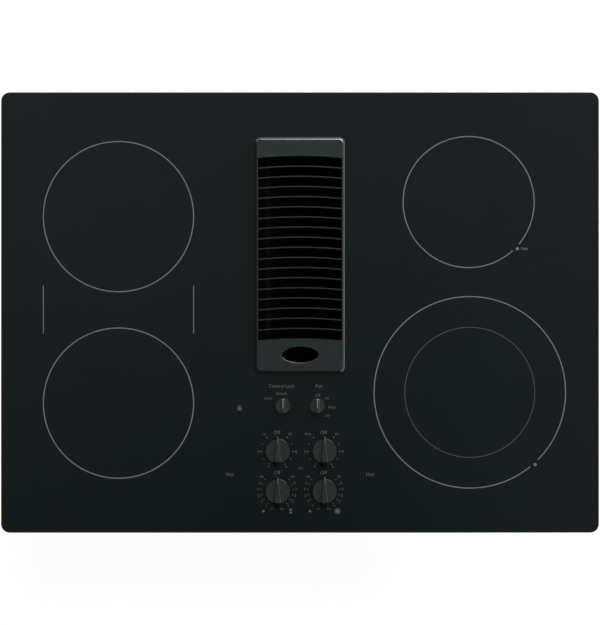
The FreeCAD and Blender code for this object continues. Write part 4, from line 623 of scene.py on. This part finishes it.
def paint_pointers():
    """A light line at the tip of each large knob's fin, and along the back half of each small knob's bar."""
    for element in ELEMENTS:
        x, tip = joint_place(f"{element}_turn")[0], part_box(f"{element}_knob")[1].y
        paint_line(element, (x, tip - FIN_LINE_START), (x, tip - FIN_LINE_END), FIN_LINE_WIDTH, DULL_LINE)
    for dial in ("lock", "fan"):
        x, y = joint_place(f"{dial}_turn")
        paint_line(dial, (x, y + BAR_LINE_BACK), (x, y - BAR_LINE_FRONT), BAR_LINE_WIDTH, BRIGHT_LINE)


# Woven filter

FILTER_LEAN = math.radians(44)
MESH_THICKNESS = 7.0 * MM
WIRE_WIDTH = 0.8 * MM
WIRE_THICKNESS = 0.45 * MM
WIRE_PITCH = 5.0 * MM
WIRE_SLANT = math.radians(32)
LAYER_LIFTS = (0.4 * MM, 2.2 * MM, 4.0 * MM, 5.8 * MM)


def weave_filter():
    """Layers of crossed aluminium strands in place of the filter's plain slab."""
    low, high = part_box("filter_mesh")
    along = Vector((math.cos(FILTER_LEAN), 0, -math.sin(FILTER_LEAN)))
    normal = Vector((math.sin(FILTER_LEAN), 0, math.cos(FILTER_LEAN)))
    width = (high.x - low.x - MESH_THICKNESS * normal.x) / along.x
    start = Vector((low.x, (low.y + high.y) / 2, high.z - MESH_THICKNESS * normal.z))
    half = (high.y - low.y) / 2
    weave = bmesh.new()
    for index, lift in enumerate(LAYER_LIFTS):
        for side in (1, -1):
            slope = side * math.tan(WIRE_SLANT)
            shift = half * abs(slope)
            height = lift + (WIRE_THICKNESS if side < 0 else 0)
            offset = -shift + index * WIRE_PITCH / len(LAYER_LIFTS)
            while offset < width + shift:
                add_strand(weave, start + normal * height, along, normal, width, half, offset, slope)
                offset += WIRE_PITCH
    piece = mesh_piece("filter_weave", weave, FINISHES["filter_aluminium"], "filter")
    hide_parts("filter_mesh")


def add_strand(mesh, origin, along, normal, width, half, offset, slope):
    """One flat strand that crosses the filter's plane at a slant, cut at the filter's edges."""
    reach = sorted(((0 - offset) / slope, (width - offset) / slope))
    first, last = max(-half, reach[0]), min(half, reach[1])
    if last - first < WIRE_WIDTH:
        return
    direction = (along * slope + Vector((0, 1, 0))).normalized()
    side = direction.cross(normal) * WIRE_WIDTH / 2
    rise = normal * WIRE_THICKNESS
    rings = []
    for y in (first, last):
        point = origin + along * (offset + slope * y) + Vector((0, y, 0))
        rings.append([mesh.verts.new(point + step) for step in (-side, side, side + rise, rise - side)])
    join_rings(mesh, rings[1], rings[0])
    mesh.faces.new(rings[0])
    mesh.faces.new(rings[1][::-1])


# Screw recesses, drawn as crosses of painted shade

RECESS_REACH = 1.9 * MM
RECESS_WIDTH = 0.75 * MM
RECESS_LIFT = 0.02 * MM
RIM_SHARE = 0.9  # of the screw's largest radius: what reaches it is the head's rim
SAME_PLACE_DIGITS = 6


def islands(mesh):
    """The separate bodies of a mesh, as lists of corner places."""
    places = {}
    for vertex in mesh.vertices:
        place = tuple(round(value, SAME_PLACE_DIGITS) for value in vertex.co)
        places.setdefault(place, []).append(vertex.index)
    group = list(range(len(mesh.vertices)))

    def leader(index):
        while group[index] != index:
            group[index] = group[group[index]]
            index = group[index]
        return index

    for same in places.values():
        for index in same[1:]:
            group[leader(index)] = leader(same[0])
    for face in mesh.polygons:
        for index in face.vertices[1:]:
            group[leader(index)] = leader(face.vertices[0])
    found = {}
    for vertex in mesh.vertices:
        found.setdefault(leader(vertex.index), []).append(vertex.co.copy())
    return list(found.values())


def screw_head(corners):
    """The middle of a screw's head face, and the direction in which it looks."""
    low, high = [Vector(map(pick, zip(*corners))) for pick in (min, max)]
    middle, size = (low + high) / 2, high - low
    axis = max(range(3), key=lambda index: size[index])
    wide = max(size[index] for index in range(3) if index != axis) / 2
    rim = [corner[axis] for corner in corners
           if max(abs((corner - middle)[index]) for index in range(3) if index != axis) > RIM_SHARE * wide]
    side = 1 if sum(rim) / len(rim) > middle[axis] else -1
    facing = Vector([side if index == axis else 0 for index in range(3)])
    face = middle.copy()
    face[axis] = high[axis] if side > 0 else low[axis]
    return face, facing


def paint_recess_shade():
    """A dark cross of painted shade on each case screw's head, where the recess of its cross drive lies."""
    mesh = bmesh.new()
    for corners in islands(frame["nodes"]["case_screws"].data):
        face, facing = screw_head(corners)
        across = facing.orthogonal().normalized()
        upward = facing.cross(across)
        for long, short in ((across, upward), (upward, across)):
            steps = [(a, b, c) for c in (0, 1) for a, b in ((-1, -1), (1, -1), (1, 1), (-1, 1))]
            ring = [mesh.verts.new(face + long * RECESS_REACH * a + short * RECESS_WIDTH / 2 * b
                                   + facing * RECESS_LIFT * (1 + c)) for a, b, c in steps]
            mesh.faces.new(ring[3::-1])
            mesh.faces.new(ring[4:])
            join_rings(mesh, ring[:4], ring[4:])
    bmesh.ops.recalc_face_normals(mesh, faces=mesh.faces)
    # the dark rubber finish gives the painted shade of the recess
    mesh_piece("screw_recess_shade", mesh, FINISHES["gasket_rubber"], "cooktop")


# Studio

KEY_PLACE = Vector((1.24, 2.33, 3.77))
KEY_SIZE = 2.7
KEY_POWER = 155.0
# In reflections the sky runs from SKY_OVERHEAD to SKY_RIM with the distance from SKY_DARKEST, gains
# GLOW_LEVEL at the horizon, which is gone at GLOW_HEIGHT, and falls to SHADE_LEVEL of that near SKY_SHADED.
SKY_DARKEST = Vector((0, -0.12, 1)).normalized()
SKY_OVERHEAD, SKY_RIM, SKY_SPREAD = 0.12, 0.8, 1.0
SKY_SHADED = Vector((-0.72, -0.68, 0.15)).normalized()
SHADE_LEVEL, SHADE_SPREAD = 0.04, (0.95, 1.25)
GLOW_LEVEL, GLOW_HEIGHT = 2.0, 0.22
FLOOR_SIZE = 30.0
FLOOR_TONES = (0.80, 0.80, 0.80), (0.84, 0.84, 0.84)
FLOOR_GLOW = 0.75
AMBIENT = 0.28
CAMERA_DISTANCE = 2.6
PHOTO_WIDTH = 600  # pixels
PIXEL = 1.26335 * MM  # on the glass


def add_key():
    """A soft box behind and to the right, aimed at the cooktop."""
    data = bpy.data.lights.new("key", "AREA")
    data.size = KEY_SIZE
    data.energy = KEY_POWER
    lamp = bpy.data.objects.new("key", data)
    lamp.location = KEY_PLACE
    lamp.rotation_euler = (-KEY_PLACE).to_track_quat("-Z", "Y").to_euler()
    bpy.context.scene.collection.objects.link(lamp)


def combined(tree, operation, one, other):
    """Two values put together by a math node."""
    made = tree.nodes.new("ShaderNodeMath")
    made.operation = operation
    tree.links.new(one, made.inputs[0])
    tree.links.new(other, made.inputs[1])
    return made.outputs[0]


def ranged(tree, value, low, high, start=0.0, end=1.0):
    """A value that runs from start to end, spread from low to high."""
    made = tree.nodes.new("ShaderNodeMapRange")
    tree.links.new(value, made.inputs["Value"])
    for socket, number in (("From Min", start), ("From Max", end), ("To Min", low), ("To Max", high)):
        if isinstance(number, bpy.types.NodeSocket):
            tree.links.new(number, made.inputs[socket])
        else:
            made.inputs[socket].default_value = number
    return made.outputs[0]


def seen_by_camera(tree):
    """One for rays that come from the camera, also through glass, and zero for the rest."""
    path = tree.nodes.new("ShaderNodeLightPath").outputs
    return combined(tree, "MAXIMUM", path["Is Camera Ray"], path["Is Transmission Ray"])


def sky_spot(tree):
    """The looked-at spot of the sky, on a sphere of radius one."""
    return tree.nodes.new("ShaderNodeTexCoord").outputs["Generated"]


def away_from(tree, direction):
    """How far the looked-at spot of the sky is from a direction."""
    made = tree.nodes.new("ShaderNodeVectorMath")
    made.operation = "DISTANCE"
    tree.links.new(sky_spot(tree), made.inputs[0])
    made.inputs[1].default_value = direction
    return made.outputs["Value"]


def spot_height(tree):
    """How high above the horizon the looked-at spot of the sky is."""
    made = tree.nodes.new("ShaderNodeSeparateXYZ")
    tree.links.new(sky_spot(tree), made.inputs[0])
    return made.outputs["Z"]


def build_world():
    """White where it is seen. In reflections it is dim overhead and at the front left, and glows low down."""
    world = bpy.data.worlds.new("studio")
    world.use_nodes = True
    tree = world.node_tree
    light = tree.nodes["Background"]
    light.inputs["Color"].default_value = (1, 1, 1, 1)
    dome = ranged(tree, away_from(tree, SKY_DARKEST), SKY_OVERHEAD, SKY_RIM, end=SKY_SPREAD)
    shade = ranged(tree, away_from(tree, SKY_SHADED), SHADE_LEVEL, 1.0, *SHADE_SPREAD)
    glow = ranged(tree, spot_height(tree), GLOW_LEVEL, 0.0, end=GLOW_HEIGHT)
    sky = combined(tree, "MULTIPLY", combined(tree, "ADD", dome, glow), shade)
    glossy = tree.nodes.new("ShaderNodeLightPath").outputs["Is Glossy Ray"]
    lit = ranged(tree, glossy, AMBIENT, sky)
    tree.links.new(ranged(tree, seen_by_camera(tree), lit, 1.0), light.inputs["Strength"])
    bpy.context.scene.world = world


def build_floor():
    """A pale floor under the outlet collar, with a glow for the rays that see it."""
    finish = Finish("studio_floor", specular=0.1)
    finish.colour(finish.noise(1.5, 2), *FLOOR_TONES)
    finish.roughness(finish.noise(0.5, 2), 0.85, 0.95)
    tree = finish.material.node_tree
    finish.shader.inputs["Emission Color"].default_value = (1, 1, 1, 1)
    glossy = tree.nodes.new("ShaderNodeLightPath").outputs["Is Glossy Ray"]
    seen = combined(tree, "MAXIMUM", seen_by_camera(tree), glossy)
    tree.links.new(ranged(tree, seen, 0.0, FLOOR_GLOW), finish.shader.inputs["Emission Strength"])
    plane = bmesh.new()
    bmesh.ops.create_grid(plane, x_segments=4, y_segments=4, size=FLOOR_SIZE / 2)
    data = bpy.data.meshes.new("studio_floor")
    plane.to_mesh(data)
    plane.free()
    data.materials.append(finish.material)
    floor = bpy.data.objects.new("studio_floor", data)
    floor.location.z = cad_box[0].z
    bpy.context.scene.collection.objects.link(floor)


def add_camera():
    """Straight above the middle of the glass, framed like the photograph."""
    data = bpy.data.cameras.new("camera")
    data.sensor_fit = "HORIZONTAL"
    data.lens = data.sensor_width * CAMERA_DISTANCE / (PHOTO_WIDTH * PIXEL)
    camera = bpy.data.objects.new("camera", data)
    camera.location = (0, 0, GLASS_FACE + CAMERA_DISTANCE)
    bpy.context.scene.collection.objects.link(camera)
    bpy.context.scene.camera = camera


dress_nodes()
print_zones()
print_controls()
paint_pointers()
weave_filter()
paint_recess_shade()
add_key()
build_world()
build_floor()
add_camera()
bpy.context.scene.view_settings.view_transform = "Standard"
